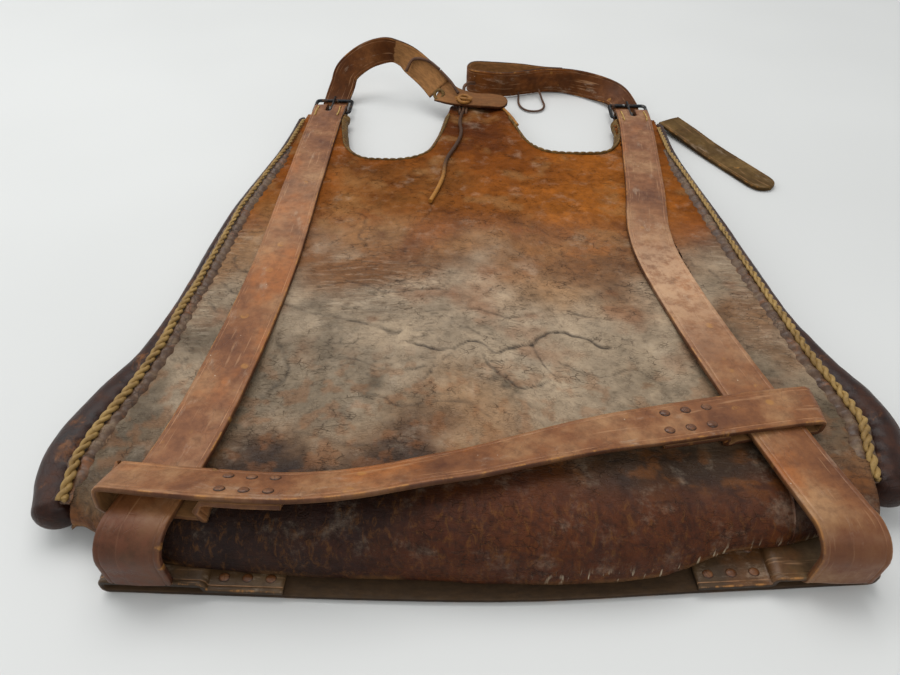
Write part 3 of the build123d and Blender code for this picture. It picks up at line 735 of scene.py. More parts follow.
def suede():
    s = Shader("back_suede")
    nap = s.noise(3.5, 7, 0.75, s.stretched(1, 0.7, 1))
    s.colour = s.ramp(s.noise(38, 6, 0.65), (0.3, tone(98, 66, 36)), (0.52, tone(136, 96, 54)),
                      (0.72, tone(164, 122, 72)))
    s.paint(tone(84, 54, 28), s.span(nap, 0.35, 0.7, 0.0, 0.55))
    s.bump(nap, 0.9, 0.7)
    return s.done(0.92, sheen=0.25)


def felt():
    s = Shader("stuffing_felt")
    clump = s.noise(6, 7, 0.7)
    s.colour = s.ramp(clump, (0.35, tone(120, 106, 84)), (0.65, tone(170, 156, 130)))
    s.bump(clump, 1.2, 0.8)
    return s.done(0.95)


def thong_hide(name, low, high):
    """Twisted rawhide or soft thong, with fibres along it."""
    s = Shader(name)
    fibre = s.noise(2.6, 6, 0.7)
    s.colour = s.ramp(s.noise(17, 6, 0.66), (0.32, low), (0.68, high))
    s.paint(low * 0.55, s.span(fibre, 0.4, 0.75, 0.0, 0.5))
    s.bump(fibre, 0.35, 0.8)
    return s.done(0.62, specular=0.4)


def tie_hide(start_y, end_y):
    """Dark thong that turns ochre toward its free end, between two places along Y."""
    s = Shader("tie_thong_leather")
    along = s.node("ShaderNodeSeparateXYZ", {"Vector": s.coords}).outputs["Y"]
    worn = s.span(along, start_y * MM, end_y * MM)
    fibre = s.noise(2.6, 6, 0.7)
    s.colour = s.mix(worn, tone(66, 42, 24), tone(160, 108, 44))
    s.paint(tone(40, 26, 15), s.span(fibre, 0.4, 0.75, 0.0, 0.5))
    s.bump(fibre, 0.35, 0.8)
    return s.done(0.6, specular=0.3)


def thread():
    s = Shader("waxed_thread")
    ply = s.noise(0.9, 4, 0.6)
    s.colour = s.mix(s.span(ply, 0.35, 0.7), tone(150, 116, 58), tone(196, 164, 96))
    s.bump(ply, 0.25, 0.8)
    return s.done(0.7)


def black_steel():
    """Blackened buckle steel with brown rust and bare, rubbed spots."""
    s = Shader("blackened_steel")
    rust = s.span(s.noise(7, 7, 0.72), 0.52, 0.66)
    bare = s.span(s.noise(11, 6, 0.7, distortion=0.4), 0.56, 0.68)
    s.colour = s.mix(rust, tone(44, 46, 48), tone(84, 58, 40))
    s.paint(tone(150, 150, 146), bare, 0.7)
    s.bump(s.noise(1.4, 5, 0.7), 0.25, 0.7)
    return s.done(s.span(rust, 0.0, 1.0, 0.38, 0.75), metallic=s.span(rust, 0.0, 1.0, 0.9, 0.35))


def brass_burr():
    """Dull rivet metal on the back."""
    s = Shader("dull_rivet_metal")
    tarnish = s.noise(3, 6, 0.7)
    s.colour = s.ramp(tarnish, (0.35, tone(80, 60, 38)), (0.65, tone(150, 122, 78)))
    s.bump(tarnish, 0.2, 0.6)
    return s.done(s.span(tarnish, 0.3, 0.7, 0.4, 0.7), metallic=0.8)


# ---- camera, light and floor ----
def camera():
    data = bpy.data.cameras.new("camera")
    data.sensor_width, data.lens = 36, 27.04
    obj = new_object("camera", data)
    obj.location = (-0.0065, -0.481, 0.391)
    obj.rotation_euler = (radians(90 - 44.2), 0, radians(2.2))
    bpy.context.scene.camera = obj


def soft_light(name, place, size, power, colour=(1, 1, 1)):
    """Rectangular light that faces the pad's middle."""
    data = bpy.data.lights.new(name, "AREA")
    data.shape = "RECTANGLE"
    data.size, data.size_y = size
    data.energy = power
    data.color = colour
    obj = new_object(name, data)
    obj.location = place
    obj.rotation_euler = look_angles(-np.array(place, float))


def look_angles(direction):
    """Euler angles that point an object's -Z along the direction."""
    x, y, z = direction / np.linalg.norm(direction)
    return np.arccos(-z), 0, np.arctan2(-x, y)


def studio():
    s = Shader("pale_floor")
    s.colour = s.mix(s.span(s.noise(900, 3), 0.3, 0.7), tone(199, 199, 197), tone(206, 206, 204))
    s.bump(s.noise(60, 3), 0.1, 0.1)
    floor_material = s.done(0.5, specular=0.25)
    mesh = bpy.data.meshes.new("floor")
    corners = [(x, y, -0.0006) for y in (-4.0, 7.0) for x in (-9.0, 9.0)]
    mesh.from_pydata(corners, [], [(0, 1, 3, 2)])
    mesh.materials.append(floor_material)
    new_object("floor", mesh)
    world = bpy.data.worlds.new("pale_room")
    bpy.context.scene.world = world
    world.use_nodes = True
    background = world.node_tree.nodes["Background"]
    background.inputs["Color"].default_value = (0.9, 0.93, 0.94, 1)
    background.inputs["Strength"].default_value = 0.62
    soft_light("overhead", (-0.3, 0.7, 1.9), (1.8, 1.2), 26)
    soft_light("window_left", (-1.7, 0.3, 1.2), (1.2, 1.0), 9, (0.95, 0.98, 1))
    soft_light("front_fill", (0.5, -1.5, 1.5), (1.4, 1.0), 8)
    bpy.context.scene.view_settings.view_transform = "Standard"


camera()
studio()


# ---- the pad ----
def make_front_hide(material):
    """Front hide with its rolled lower edge, its walls behind the rolls and inside the arm cut-outs."""
    shares, y, y_low, z_low = pad_grid(1.7, 1.7)
    x = shares[None] * half_width(shares[None], y)
    z, depth = front_surface(x, y)
    tint = hide_tint(x, y, depth)

    bend = np.linspace(0, 1, 30)[1:, None]  # round the thick end
    angle = bend * pi / 2
    y_start, z_start = y[-1][None], z[-1][None]
    nose_y = y_start - (y_start - y_low[None]) * np.sin(angle)
    nose_x = shares[None] * half_width(shares[None], nose_y)
    ripple = 0.8 * fractal(nose_x, nose_y * 3, 24, 171, 4) * np.sin(angle)
    nose_z = z_low[None] + (z_start - z_low[None]) * np.cos(angle) ** 0.85 + 0.5 * ripple
    nose_y = nose_y + ripple
    tuck = np.linspace(0, 1, 7)[1:, None]  # its edge turned under
    tuck_y = nose_y[-1:] + 1.5 + 14 * tuck
    tuck_x = np.repeat(nose_x[-1:], len(tuck), 0)
    tuck_z = nose_z[-1:] - 1.6 * np.sin(tuck * pi)

    x, y, z = (np.vstack(parts) for parts in ((x, nose_x, tuck_x), (y, nose_y, tuck_y), (z, nose_z, tuck_z)))
    nose_rows = slice(len(depth), None)
    nose_depth = 0.35 * np.exp(-(cell_edges(x, y + 0.6 * z, 8, 181)[nose_rows] / 0.12) ** 2)
    nose_tint = hide_tint(x[nose_rows], y[nose_rows] - 0.25 * (z_start - z[nose_rows]), nose_depth)
    rim = np.exp(-((z[nose_rows] - z_low[None] - 1) / 2.0) ** 2)
    rim = rim * smoothstep(0.0, 0.5, fractal(x[nose_rows], y[nose_rows], 30, 191, 3) + 0.35)
    tint = np.vstack([tint, tinted(nose_tint, "tan", 0.7 * rim, 0.9)])
    depth = np.vstack([depth, nose_depth])

    base = np.minimum(back_height(x, y) + 1.5, z - 2)  # walls down to the back hide
    left = np.array((0.0, 0.4, 0.75))
    right = left[::-1]
    z = np.vstack([base[:1] + (z[:1] - base[:1]) * left[:, None], z])
    x, base, tint, depth = (np.concatenate([f[:1]] * 3 + [f]) for f in (x, base, tint, depth))
    y = np.vstack([y[:1] - 0.5 * (1 - left)[:, None], y])
    z = np.hstack([base[:, :1] + (z[:, :1] - base[:, :1]) * left, z,
                   base[:, -1:] + (z[:, -1:] - base[:, -1:]) * right])
    x, y, tint, depth = (np.concatenate([f[:, :1]] * 3 + [f] + [f[:, -1:]] * 3, 1)
                         for f in (x, y, tint, depth))

    nose = smoothstep(-246, -268, y)
    shape = Shape().grid(xyz(x, y, z), tint=tint, crease=depth, wrinkled=wrinkled(x, y),
                         nose=nose, rubbed=np.exp(-((z - 16) / 5) ** 2) * smoothstep(20, 70, x) * nose,
                         shine=smoothstep(90, 0, y) * (1 - 0.4 * nose))
    hide = shape.piece("front_hide_skin", material, "pad", "front_leather", ["front_hide"])
    thicken(hide, 2.4)


def thicken(obj, thickness, offset=1):
    """Gives an open skin its thickness, on its inner side; offset -1 puts it above a back skin."""
    solid = obj.modifiers.new("thickness", "SOLIDIFY")
    solid.thickness = thickness * MM
    solid.offset = offset


def make_back_hide(material):
    """Suede back with a ragged edge that shows beyond the right roll."""
    shares, y, y_low, _ = pad_grid(4.0, 4.0)
    y = np.vstack([y, y_low[None] + np.array((24, 16, 8))[:, None]])
    x = shares[None] * (half_width(shares[None], y) - 1.5)
    z = back_height(x, y) + 0.6 + 0.5 * fractal(x, y, 30, 201, 3)
    z = np.minimum(z + 0.9 * smoothstep(-190, -225, y), strap_top(y) - 12)
    hide = Shape().grid(xyz(x, y, z)).piece("back_hide_skin", material, "pad", "back_suede", ["back_hide"])
    thicken(hide, 1.8, -1)

    along = np.arange(64, -142, -1.6)
    roll_x = roll_at("right", along)[0]
    reach = np.array((-16, -8, 0, 5, 9, 12))[None] * np.ones((len(along), 1))
    ragged = 1.6 * wander(along, 5, 211, 3) + 2.2 * wander(along, 26, 221, 2)
    ends = smoothstep(64, 40, along) * smoothstep(-142, -110, along)
    reach[:, 2:] = reach[:, 2:] * (0.3 + 0.7 * ends[:, None]) + ragged[:, None] * np.array((0, 0.4, 0.8, 1.0))
    z = 6.4 - 0.1 * np.clip(reach, 0, 20) + 0.7 * fractal(reach, along[:, None], 9, 231, 2)
    fringe = Shape().grid(xyz(roll_x[:, None] + reach, along[:, None], z))
    thicken(fringe.piece("back_hide_fringe", material, "pad", "back_suede"), 1.4)


def make_stuffing(material):
    shares, y, *_ = pad_grid(10.0, 12.0)
    y = stuffing_end_y + (y[-1:] + 6 - stuffing_end_y) * np.linspace(0, 1, len(y))[:, None]
    x = shares[None] * (half_width(shares[None], y) - 9)
    high = front_height(x, y) - 7
    low = np.minimum(back_height(x, y) + 5, high - 2)
    top, bottom = xyz(x, y, high), xyz(x, y, low)
    shape = Shape().grid(np.concatenate([top, bottom[:, ::-1]], 1), wrap_columns=True, caps=True)
    shape.piece("stuffing_fill", material, "pad", "stuffing_felt", ["stuffing"])


# ---- rolls, bindings and lacing ----
stitch_pitch, lacing_step, roll_step, edging_step = 12.0, 1.2, 2.2, 0.9


def lacing_line(side, first_y):
    """Where a side's lacing lies: in the valley between roll and binding, or beside the main strap."""
    last_y = roll_lines[side][-1, 0] - 4
    y = np.arange(first_y, last_y, -lacing_step)
    x_roll, z_roll, radius = roll_at(side, y)
    strap = smooth_line(main_lines[side], 4.0)
    strap_x = np.abs(np.interp(-y, -strap[:, 1], strap[:, 0])) + strap_width / 2
    x = np.maximum(x_roll - radius - 1.5, strap_x + 2.8)
    x = x + 0.7 * wander(y, 40, 241, 2)
    on_roll = z_roll + np.sqrt(np.clip(radius ** 2 - (x - x_roll) ** 2, 0, None))
    on_roll = np.where(np.abs(x - x_roll) < radius, on_roll, -99)
    z = np.maximum(front_height(x, y) + 1.2, on_roll + 0.4)
    end = smoothstep(last_y + 26, last_y, y)
    x, z = x + 5 * end, z - 7 * end
    return xyz(signs[side] * x, y, z)


def make_roll(side, material):
    sign = signs[side]
    points = smooth_line([(sign * x, y, z) for y, x, z, _ in roll_lines[side]], roll_step)
    radius = roll_at(side, points[:, 1])[2]
    cap = radius[-1] * 0.75
    extra = points[-1] + unit(points[-1] - points[-8]) * np.linspace(0, cap, 9)[1:, None]
    points = np.vstack([points, extra])
    radius = np.r_[radius, radius[-1] * np.sqrt(1 - np.linspace(0, 0.985, 9)[1:] ** 2)]
    radius[:5] = radius[5] * np.sqrt(np.linspace(0.12, 1, 5))
    s = np.arange(len(points))[:, None] * roll_step
    angle = np.linspace(0, 2 * pi, 40, endpoint=False)[None]
    toward = np.exp(-((sign * np.cos(angle) - 0.8) / 0.4) ** 2)
    pucker = 0.06 * np.cos(2 * pi * s / stitch_pitch + 0.5 * np.sin(s / 37)) * toward
    lumps = (0.045 * fractal(s, np.cos(angle) * 26, 34, 251, 3)
             + 0.02 * fractal(s, np.sin(angle) * 30, 9, 261, 3))
    shape = tube_grid(Shape(), points, radius[:, None] * (1 + pucker + lumps), 40)
    roll = shape.piece(f"{side}_roll_skin", material, "pad", "roll_leather", [f"{side}_side_roll"])


def make_binding(side, material):
    """Puckered strip of the binding between the lacing and the hide."""
    lace = lacing_line(side, 196 if side == "left" else 206)
    sign = signs[side]
    y = lace[:, 1:2]
    s = np.arange(len(lace))[:, None] * lacing_step
    inward = np.array((-6.5, -4.5, -2.5, 0, 2.0, 3.6, 5.2, 6.8, 8.4, 10.0, 11.2))[None]
    rise = np.array((-1.5, 1.0, 0.6, -0.4, 1.6, 3.1, 3.6, 3.2, 2.1, 0.5, -1.6))[None]
    beat = np.cos(2 * pi * s / stitch_pitch + 0.9 * np.sin(s / 41))
    fade = smoothstep(200, 150, y) * smoothstep(y[-1], y[-1] + 20, y)  # flatter toward both ends
    reach = inward * (1 + 0.09 * beat) * (0.35 + 0.65 * fade) + 0.8 * wander(s, 30, 271, 2)
    crease = 0.35 * np.sin((s + 2.5 * inward) * 1.7) * np.exp(-((inward - 4.5) / 3) ** 2)
    height = rise * (0.85 + 0.28 * beat) * (0.25 + 0.75 * fade) + crease * fade
    x = lace[:, :1] - sign * reach
    base = np.where(inward > 1, np.minimum(lace[:, 2:3] - 0.6, front_height(x, y)), lace[:, 2:3] - 0.8)
    top, bottom = xyz(x, y, base + height), xyz(x, y, base + np.minimum(height, 0) - 2.0)
    shape = Shape().grid(np.concatenate([top, bottom[:, ::-1]], 1), wrap_columns=True, caps=True,
                         flip=sign > 0)
    shape.piece(f"{side}_binding", material, "pad", "roll_leather", [f"{side}_lacing_welt"])


def make_lacing(side, material):
    """Two thongs twisted round each other along the roll."""
    lace = lacing_line(side, 262 if side == "left" else 258)
    s = np.arange(len(lace)) * lacing_step
    turn = 2 * pi * s / (stitch_pitch * 1.25) + 0.6 * np.sin(s / 29)
    swell = 1 + 0.3 * wander(s, 9, 281, 3)
    size = 0.66 + 0.38 * smoothstep(120, -220, lace[:, 1])
    shape = Shape()
    for phase in (0, pi):
        strand = lace + xyz(np.cos(turn + phase) * 1.7 * size, 0, 1.9 + 1.15 * np.sin(turn + phase) * size)
        tube_grid(shape, strand, 1.72 * size * swell, 10)
    shape.piece(f"{side}_lacing_thongs", material, "pad", "lacing_thong", [f"{side}_side_lacing"])


def make_arm_edging(side, material):
    """Rolled and whip-laced edge of an arm cut-out."""
    outline = smooth_line(top_outline, edging_step)
    low, high = (-160.5, -38) if side == "left" else (37, 160.5)
    outline = outline[(outline[:, 0] > low) & (outline[:, 0] < high) & (outline[:, 1] < 290)]
    normal = unit(np.stack([-np.gradient(outline[:, 1]), np.gradient(outline[:, 0])], 1))
    top = front_height(outline[:, 0], outline[:, 1])
    base = back_height(outline[:, 0], outline[:, 1])
    s = np.arange(len(outline)) * edging_step
    angle = np.linspace(0, 2 * pi, 22, endpoint=False)[None]
    lace = np.abs(np.cos(pi * s[:, None] / 7.5 - angle * 0.5))
    swell = 0.62 + 0.5 * lace ** 0.5 + 0.1 * fractal(s[:, None], angle * 6, 9, 291, 2)
    out = 2.4 * np.cos(angle) * swell
    rise = np.sin(angle) * ((top - base)[:, None] * 0.46 + 0.6 * swell)
    centre = ((top + base) / 2 + 0.4)[:, None] + 0.5 * wander(s, 40, 301, 2)[:, None]
    over = smoothstep(0.2, 0.95, np.sin(angle))  # its top rolls in over the hide
    out = out + 0.6 - 3.0 * over
    points = xyz(outline[:, :1] + normal[:, :1] * out, outline[:, 1:] + normal[:, 1:] * out,
                 centre + rise + 2.0 * over * swell)
    shape = Shape().grid(points, wrap_columns=True, caps=True)
    shape.piece(f"{side}_edging_lace", material, "pad", "edging_leather", [f"{side}_arm_edging"])


# ---- straps ----
def cross_line(points, x):
    line = smooth_line(points, 4.0)
    return np.interp(x, line[:, 0], line[:, 1])


def wrap_shade(side):
    """How much painted shade darkens a main strap where it turns under the thick end."""
    most, turn_y = (0.95, turn_places["left"]) if side == "left" else (0.45, turn_places["right"])
    return lambda path: most * smoothstep(turn_y + 34, turn_y + 6, path[:, 1])


def dusty_part(side):
    """Where a painted highlight lightens a main strap's top: its outward bend on the right, a little on the
    left.
    """
    middle_y, reach, most = (-45, 75, 0.75) if side == "right" else (60, 90, 0.2)
    return lambda path: most * np.exp(-((path[:, 1] - middle_y) / reach) ** 2) * (path[:, 2] > 20)


def make_main_strap(side, material):
    top_inset, t = 9.1 - strap_thick / 2, strap_thick / 2
    turn_y, end = turn_places[side] + t, strap_end_y - t
    profile = folded([(end, t), (end, strap_top(strap_end_y) - t), (turn_y, strap_top(turn_y) - t),
                      (turn_y, back_run_level + t), (-222, back_run_level + t), (-150, t)],
                     [top_inset, top_inset, 17.8, 6.8, 60, 60], 3.0, closed=True)[-2::-1]
    line = smooth_line(main_lines[side], 3.0)
    x = np.interp(-profile[:, 0], -line[:, 1], line[:, 0])
    path = xyz(x, profile[:, 0], profile[:, 1])
    shape = strap_grid(path, (1, 0, 0), strap_width, strap_thick, 3 if side == "left" else 7, closed=True,
                       shade=wrap_shade(side), dust=dusty_part(side))
    strap = shape.piece(f"{side}_harness_strap", material, "pad", "harness_leather", [f"{side}_main_strap"])
    cut_slot(strap, signs[side] * bar_x)


def cut_slot(strap, x):
    """Round-ended slot for the buckle's prong in the strap's top fold."""
    half, low, high = 3.6, 286, 330
    angle = np.linspace(pi, 2 * pi, 12)
    outline = np.r_[np.stack([x + half * np.cos(angle), low + half + half * np.sin(angle)], 1),
                    [(x + half, high), (x - half, high)]]
    rings = [np.c_[outline, np.full(len(outline), z)] for z in (5.4, 30.0)]
    shape = Shape().grid(np.array(rings), wrap_columns=True, caps=True)
    cutter = bpy.data.meshes.new("slot")
    cutter.from_pydata((np.vstack(shape.points) * MM).tolist(), [], shape.faces)
    tool = new_object("slot", cutter)
    cut = strap.modifiers.new("slot", "BOOLEAN")
    cut.operation, cut.object, cut.solver = "DIFFERENCE", tool, "EXACT"
    bpy.context.view_layer.update()
    cut_mesh = bpy.data.meshes.new_from_object(strap.evaluated_get(bpy.context.evaluated_depsgraph_get()))
    strap.modifiers.remove(cut)
    strap.data = cut_mesh
    bpy.data.objects.remove(tool)


def rivet_columns(loops):
    """Where along X the rivets of a cross-strap's two laps stand."""
    starts = (loops[0][1] + cross_thick + 8, loops[1][0] - cross_thick - 8 - 2 * rivet_step)
    return [start + step * rivet_step for start in starts for step in range(3)]


def dome(shape, centre, up, wide, long, high):
    """One end of a stud: an oval dome with a thin rim, wide along X."""
    turn = np.linspace(0, 2 * pi, 20, endpoint=False)[None]
    profile = np.array(((1.06, -1.2), (1.06, 0.0), (1.0, 0.25), (0.93, 0.45), (0.8, 0.72), (0.6, 0.9),
                        (0.35, 0.98), (0.08, 1.0)))
    reach, rise = profile[:, :1], profile[:, 1:] * high
    offsets = xyz(reach * wide * np.cos(turn), reach * long * np.sin(turn), rise)
    shape.grid(centre + offsets @ np.array(((1, 0, 0), np.cross(up, (1, 0, 0)), up)), wrap_columns=True,
               caps=True, rim=smoothstep(0.84, 1.0, reach))


def cross_frame(x):
    """Middle, across direction and upward normal of the front cross-strap's upper layer at x.

    Toward its left end the strap leans back, so its near edge stands off the pad.
    """
    lean = radians(24) * smoothstep(165, -60, x)
    y = cross_line(front_cross_line, x)
    rise = 1 + cross_thick / 2 + 9.0 * lean
    middle = xyz(x, y, strap_top(y) + rise)
    across = xyz(0, np.cos(slope_angle + lean), -np.sin(slope_angle + lean))
    up = xyz(0, np.sin(slope_angle + lean), np.cos(slope_angle + lean))
    return middle, across, up


def make_front_cross(leather, stud):
    (l0, l1), (r0, r1) = front_loops
    t = cross_thick / 2
    low_layer, out, under = -strap_thick - 1.0 - t, t, -1.0
    section = folded([(r0 - 2 * t - lap + 2, under), (r0 - out, under), (r0 - out, low_layer),
                      (r1 + out, low_layer), (r1 + out, 1 + t), (l0 - out, 1 + t), (l0 - out, low_layer),
                      (l1 + out, low_layer), (l1 + out, under), (l1 + 2 * t + lap - 2, under)],
                     [0, 2.2, 2.2, 3.6, 3.6, 3.6, 3.6, 2.2, 2.2, 0], 2.0)
    x, h = section.T
    middle, across, up = cross_frame(x)
    flat_middle = xyz(x, middle[:, 1], strap_top(middle[:, 1]) + h)
    leaning = middle + up * (h - 1 - t)[:, None]
    share = smoothstep(-6.5, -2.0, h)[:, None]
    path = flat_middle + (leaning - flat_middle) * share
    path[:, 2] += np.where(h > 2, 0.7 * wander(x, 60, 311, 2), 0)
    flat_across = np.array((0, cos(slope_angle), -sin(slope_angle)))
    strap = strap_grid(path, flat_across + (across - flat_across) * share, cross_width, cross_thick, 13)
    strap.piece("front_cross_band", leather, "front_cross", "harness_leather", ["front_cross_strap"])
    domes = Shape()
    for x in rivet_columns(front_loops):
        middle, across, up = cross_frame(np.array(x))
        for row in (-rivet_row / 2, rivet_row / 2):
            place = middle + across * row
            dome(domes, place + up * (t - 0.2), up, *stud_head)
            dome(domes, place - up * 6.1, -up, *stud_burr)
    domes.piece("front_cross_studs", stud, "front_cross", "stud_metal", ["front_cross_rivets"])


def make_back_cross(leather, stud):
    (l0, l1), (r0, r1) = back_loops
    t = cross_thick / 2
    floor_level, roof = back_run_level - 0.8, back_run_level + strap_thick + 0.8
    section = folded([(l1 + 2 * t + lap - 2, floor_level + t), (l1 + t, floor_level + t), (l1 + t, roof + t),
                      (l0 - t, roof + t), (l0 - t, t + 0.1), (r1 + t, t + 0.1), (r1 + t, roof + t),
                      (r0 - t, roof + t), (r0 - t, floor_level + t), (r0 - 2 * t - lap + 2, floor_level + t)],
                     [0, 2.0, 2.6, 3.2, 3.2, 3.2, 3.2, 2.6, 2.0, 0], 2.0)
    y = cross_line(back_cross_line, section[:, 0])
    path = xyz(section[:, 0], y, section[:, 1])
    strap = strap_grid(path, (0, 1, 0), cross_width, cross_thick - 0.2, 17, wave=0.15)
    strap.piece("back_cross_band", leather, "back_cross", "harness_leather", ["back_cross_strap"])
    domes = Shape()
    for x in rivet_columns(back_loops):
        for row in (-rivet_row / 2, rivet_row / 2):
            y = cross_line(back_cross_line, x) + row
            dome(domes, (x, y, floor_level + cross_thick - 0.3), (0, 0, 1), *stud_head)
            dome(domes, (x, y, 0.9), (0, 0, -1), *stud_burr)
    domes.piece("back_cross_studs", stud, "back_cross", "stud_metal", ["back_cross_rivets"])


left_shoulder_edges = (
    ((-198.5, 331, 4.6), (-167.5, 331, 4.6)), ((-197, 343, 9), (-165.5, 342, 8)),
    ((-191, 357, 24), (-159.5, 354, 18)), ((-184, 369, 40), (-153, 362, 31)),
    ((-162, 376, 56), (-129, 371, 45)), ((-132, 376, 67), (-107, 374, 49)),
    ((-106, 372, 70), (-97, 369, 42)), ((-82, 365, 64), (-88, 352, 36)), ((-60, 352, 52), (-71, 337, 26)),
    ((-47, 341, 40), (-55, 320, 18)))
tongue_tab_edges = (  # lies on the tongue's tip and goes on from the left shoulder strap
    ((-45.5, 341, 38), (-54, 318.5, 18.5)), ((-30, 338, 28), (-36, 307, 20)),
    ((-8, 336, 21.5), (-10, 305, 19.6)), ((14, 335, 20.5), (13, 305, 19)), ((34, 330, 18.5), (33, 306, 18)))
right_shoulder_edges = (
    ((198.5, 331, 4.6), (167.5, 331, 4.6)), ((198.5, 342, 9), (165, 336, 4.8)),
    ((178, 370, 22), (160, 351, 4)), ((146, 384, 28), (136, 374, 1.5)),
    ((112, 391, 31), (110, 389, 0.8)), ((84, 391.5, 31.5), (84, 391.5, 0.8)),
    ((58, 382.5, 32), (58, 382.5, 1.0)), ((32, 374.5, 32.5), (32, 374.5, 1.0)),
    ((4, 376.5, 33), (4, 377, 1.5)), ((-13, 383, 33), (-13, 384, 1.5)), ((-16, 396, 33), (-16, 396, 1.5)),
    ((-8, 408, 32.5), (-8, 408, 1.5)), ((14, 408.5, 32), (14, 408.5, 1)), ((48, 405, 31.5), (48, 405, 1)),
    ((80, 397.5, 31), (80, 397.5, 1)), ((106, 396, 30), (104, 394, 1)))


def edge_strap(edges, seed, **looks):
    """Strap through pairs of opposite edge points."""
    both = smooth_line([(*a, *b) for a, b in edges], 3.5)
    first, second = both[:, :3], both[:, 3:]
    return strap_grid((first + second) / 2, second - first, shoulder_width, strap_thick - 0.4, seed, **looks)


def rounded_end(reach):
    """Narrowing that rounds off a strap's far end."""
    def narrowing(along):
        left = np.clip((along[-1] - along) / reach, 0, 1)
        return np.maximum(0.12, np.sqrt(1 - (1 - left) ** 2.6))
    return narrowing


def ring(centre, axis, radius, wire):
    axis = unit(np.array(axis, float))
    u = unit(np.cross(axis, (0.3, 0.2, 0.9)))
    v = np.cross(axis, u)
    turn = np.linspace(0, 2 * pi, 28, endpoint=False)[:, None]
    rim = np.linspace(0, 2 * pi, 10, endpoint=False)[None, :, None]
    outward = np.cos(turn) * u + np.sin(turn) * v
    points = np.array(centre) + outward[:, None] * (radius + wire * np.cos(rim)) + axis * wire * np.sin(rim)
    return Shape().grid(points, wrap_rows=True, wrap_columns=True)


def make_shoulder_straps(leather, tail_leather, rim_leather):
    left = edge_strap(left_shoulder_edges, 23, turned=lambda path: smoothstep(-114, -102, path[:, 0]))
    left.piece("left_shoulder_band", leather, "left_shoulder", "shoulder_leather", ["left_shoulder_strap"])
    tab = edge_strap(tongue_tab_edges, 37, narrowing=rounded_end(14), turned=lambda path: np.ones(len(path)),
                     shade=lambda path: 0.25 + 0.35 * smoothstep(-46, -20, path[:, 0]))
    tab.piece("tongue_tab", leather, "pad", "shoulder_leather")
    eyelet = ring((-51, 322.5, 25.5), (-0.2, -0.75, 0.65), 5.5, 2.0)
    eyelet.piece("left_shoulder_eyelet", rim_leather, "left_shoulder", "shoulder_leather")
    right = edge_strap([(b, a) for a, b in right_shoulder_edges], 29)
    right.piece("right_shoulder_band", leather, "right_shoulder", "shoulder_leather",
                ["right_shoulder_strap"])

    root, heading = np.array((229, 300, 0.0)), np.array((0.5, -0.866, 0.0))
    stops = ((0, 7.5), (30, 6.0), (70, 3.2), (115, 2.6), (163, 2.6))
    path = smooth_line([root + heading * reach + (0, 0, z) for reach, z in stops], 2.5)
    tail = strap_grid(path, (-0.866, -0.5, 0), shoulder_width, strap_thick - 0.3, 31,
                      narrowing=rounded_end(20), wave=0.35)
    tail.piece("right_tail_band", tail_leather, "right_tail", "shoulder_leather", ["right_strap_tail"])


# ---- stitches, lashing and thongs ----
def make_corner_stitches(side, material):
    shape = Shape()
    rng = np.random.default_rng(5 if side == "left" else 6)
    for dx in (-13.5, 13.5):
        for y in (276, 282.5, 289, 295.5):
            jitter = rng.uniform(-0.5, 0.5, 3)
            x = signs[side] * bar_x + dx + jitter[0]
            rows = np.array((-2.4, -1.6, 0, 1.6, 2.4))
            z = strap_top(y) + 0.3 + np.array((-0.7, 0.25, 0.5, 0.25, -0.7))
            line = xyz(x + jitter[1] * rows * 0.3, y + rows, z)
            tube_grid(shape, smooth_line(line, 0.6), 0.75, 8)
    shape.piece(f"{side}_stitch_thread", material, "pad", "stitch_thread", [f"{side}_corner_stitches"])


def make_lashing(dark, ochre):
    """Thongs through the tongue's hole and round its end, and the knot on top."""
    wound = Shape()
    for offset, lift in ((-3.6, -0.5), (0.4, 0.1), (4.2, -0.3)):
        x = -21 + offset
        loop = [(x, 297.5, 9), (x, 299, 15.6 + lift), (x + 0.6, 312, 16.4 + lift), (x + 0.4, 326, 14.6),
                (x, 328.6, 9), (x - 0.4, 326, 3.2), (x - 0.4, 312, 2.2), (x, 299, 3.0), (x, 297.4, 8.9)]
        tube_grid(wound, smooth_line(loop, 1.0), 1.55, 10)
    wound.piece("tongue_windings", dark, "pad", "tie_leather", ["tongue_lashing"])
    knot = Shape()
    for loop in (((-29, 312, 22.5), (-25, 318, 25), (-18, 319, 26.5), (-13, 314, 24.5), (-16, 307, 23.5),
                  (-23, 306, 24), (-27, 312, 26), (-22, 318, 27), (-15, 320, 24)),
                 ((-30, 318, 23.5), (-24, 312, 26), (-17, 309, 26.5), (-12, 312, 24), (-17, 317, 23),
                  (-24, 321, 23.5), (-28, 314, 24))):
        tube_grid(knot, smooth_line(loop, 1.0), 1.9, 10)
    knot.piece("tongue_knot", ochre, "pad", "tie_leather")
    for name, body, points in (
            ("knot_thong_start", "left_shoulder",
             [(-93, 348, 43), (-84, 355, 55), (-66, 350, 56), (-51, 341, 49)]),
            ("knot_thong_end", "pad", [(-50, 340, 48), (-43, 335, 43), (-36, 329, 38), (-27, 319, 29)])):
        crossing = smooth_line(points, 1.5)
        tube_grid(Shape(), crossing, 1.8, 10).piece(name, dark, body, "tie_leather")
    piping = smooth_line([(-14, 316, 17.6), (2, 321, 16.8), (18, 319, 16.0), (28, 308, 15.6), (36, 290, 15.8),
                          (44, 264, 16.8)], 1.4)
    edge = tube_grid(Shape(), piping, 1.7 + 0.25 * wander(np.arange(len(piping)), 6, 321, 2), 10)
    edge.piece("tongue_piping", ochre, "pad", "tie_leather")


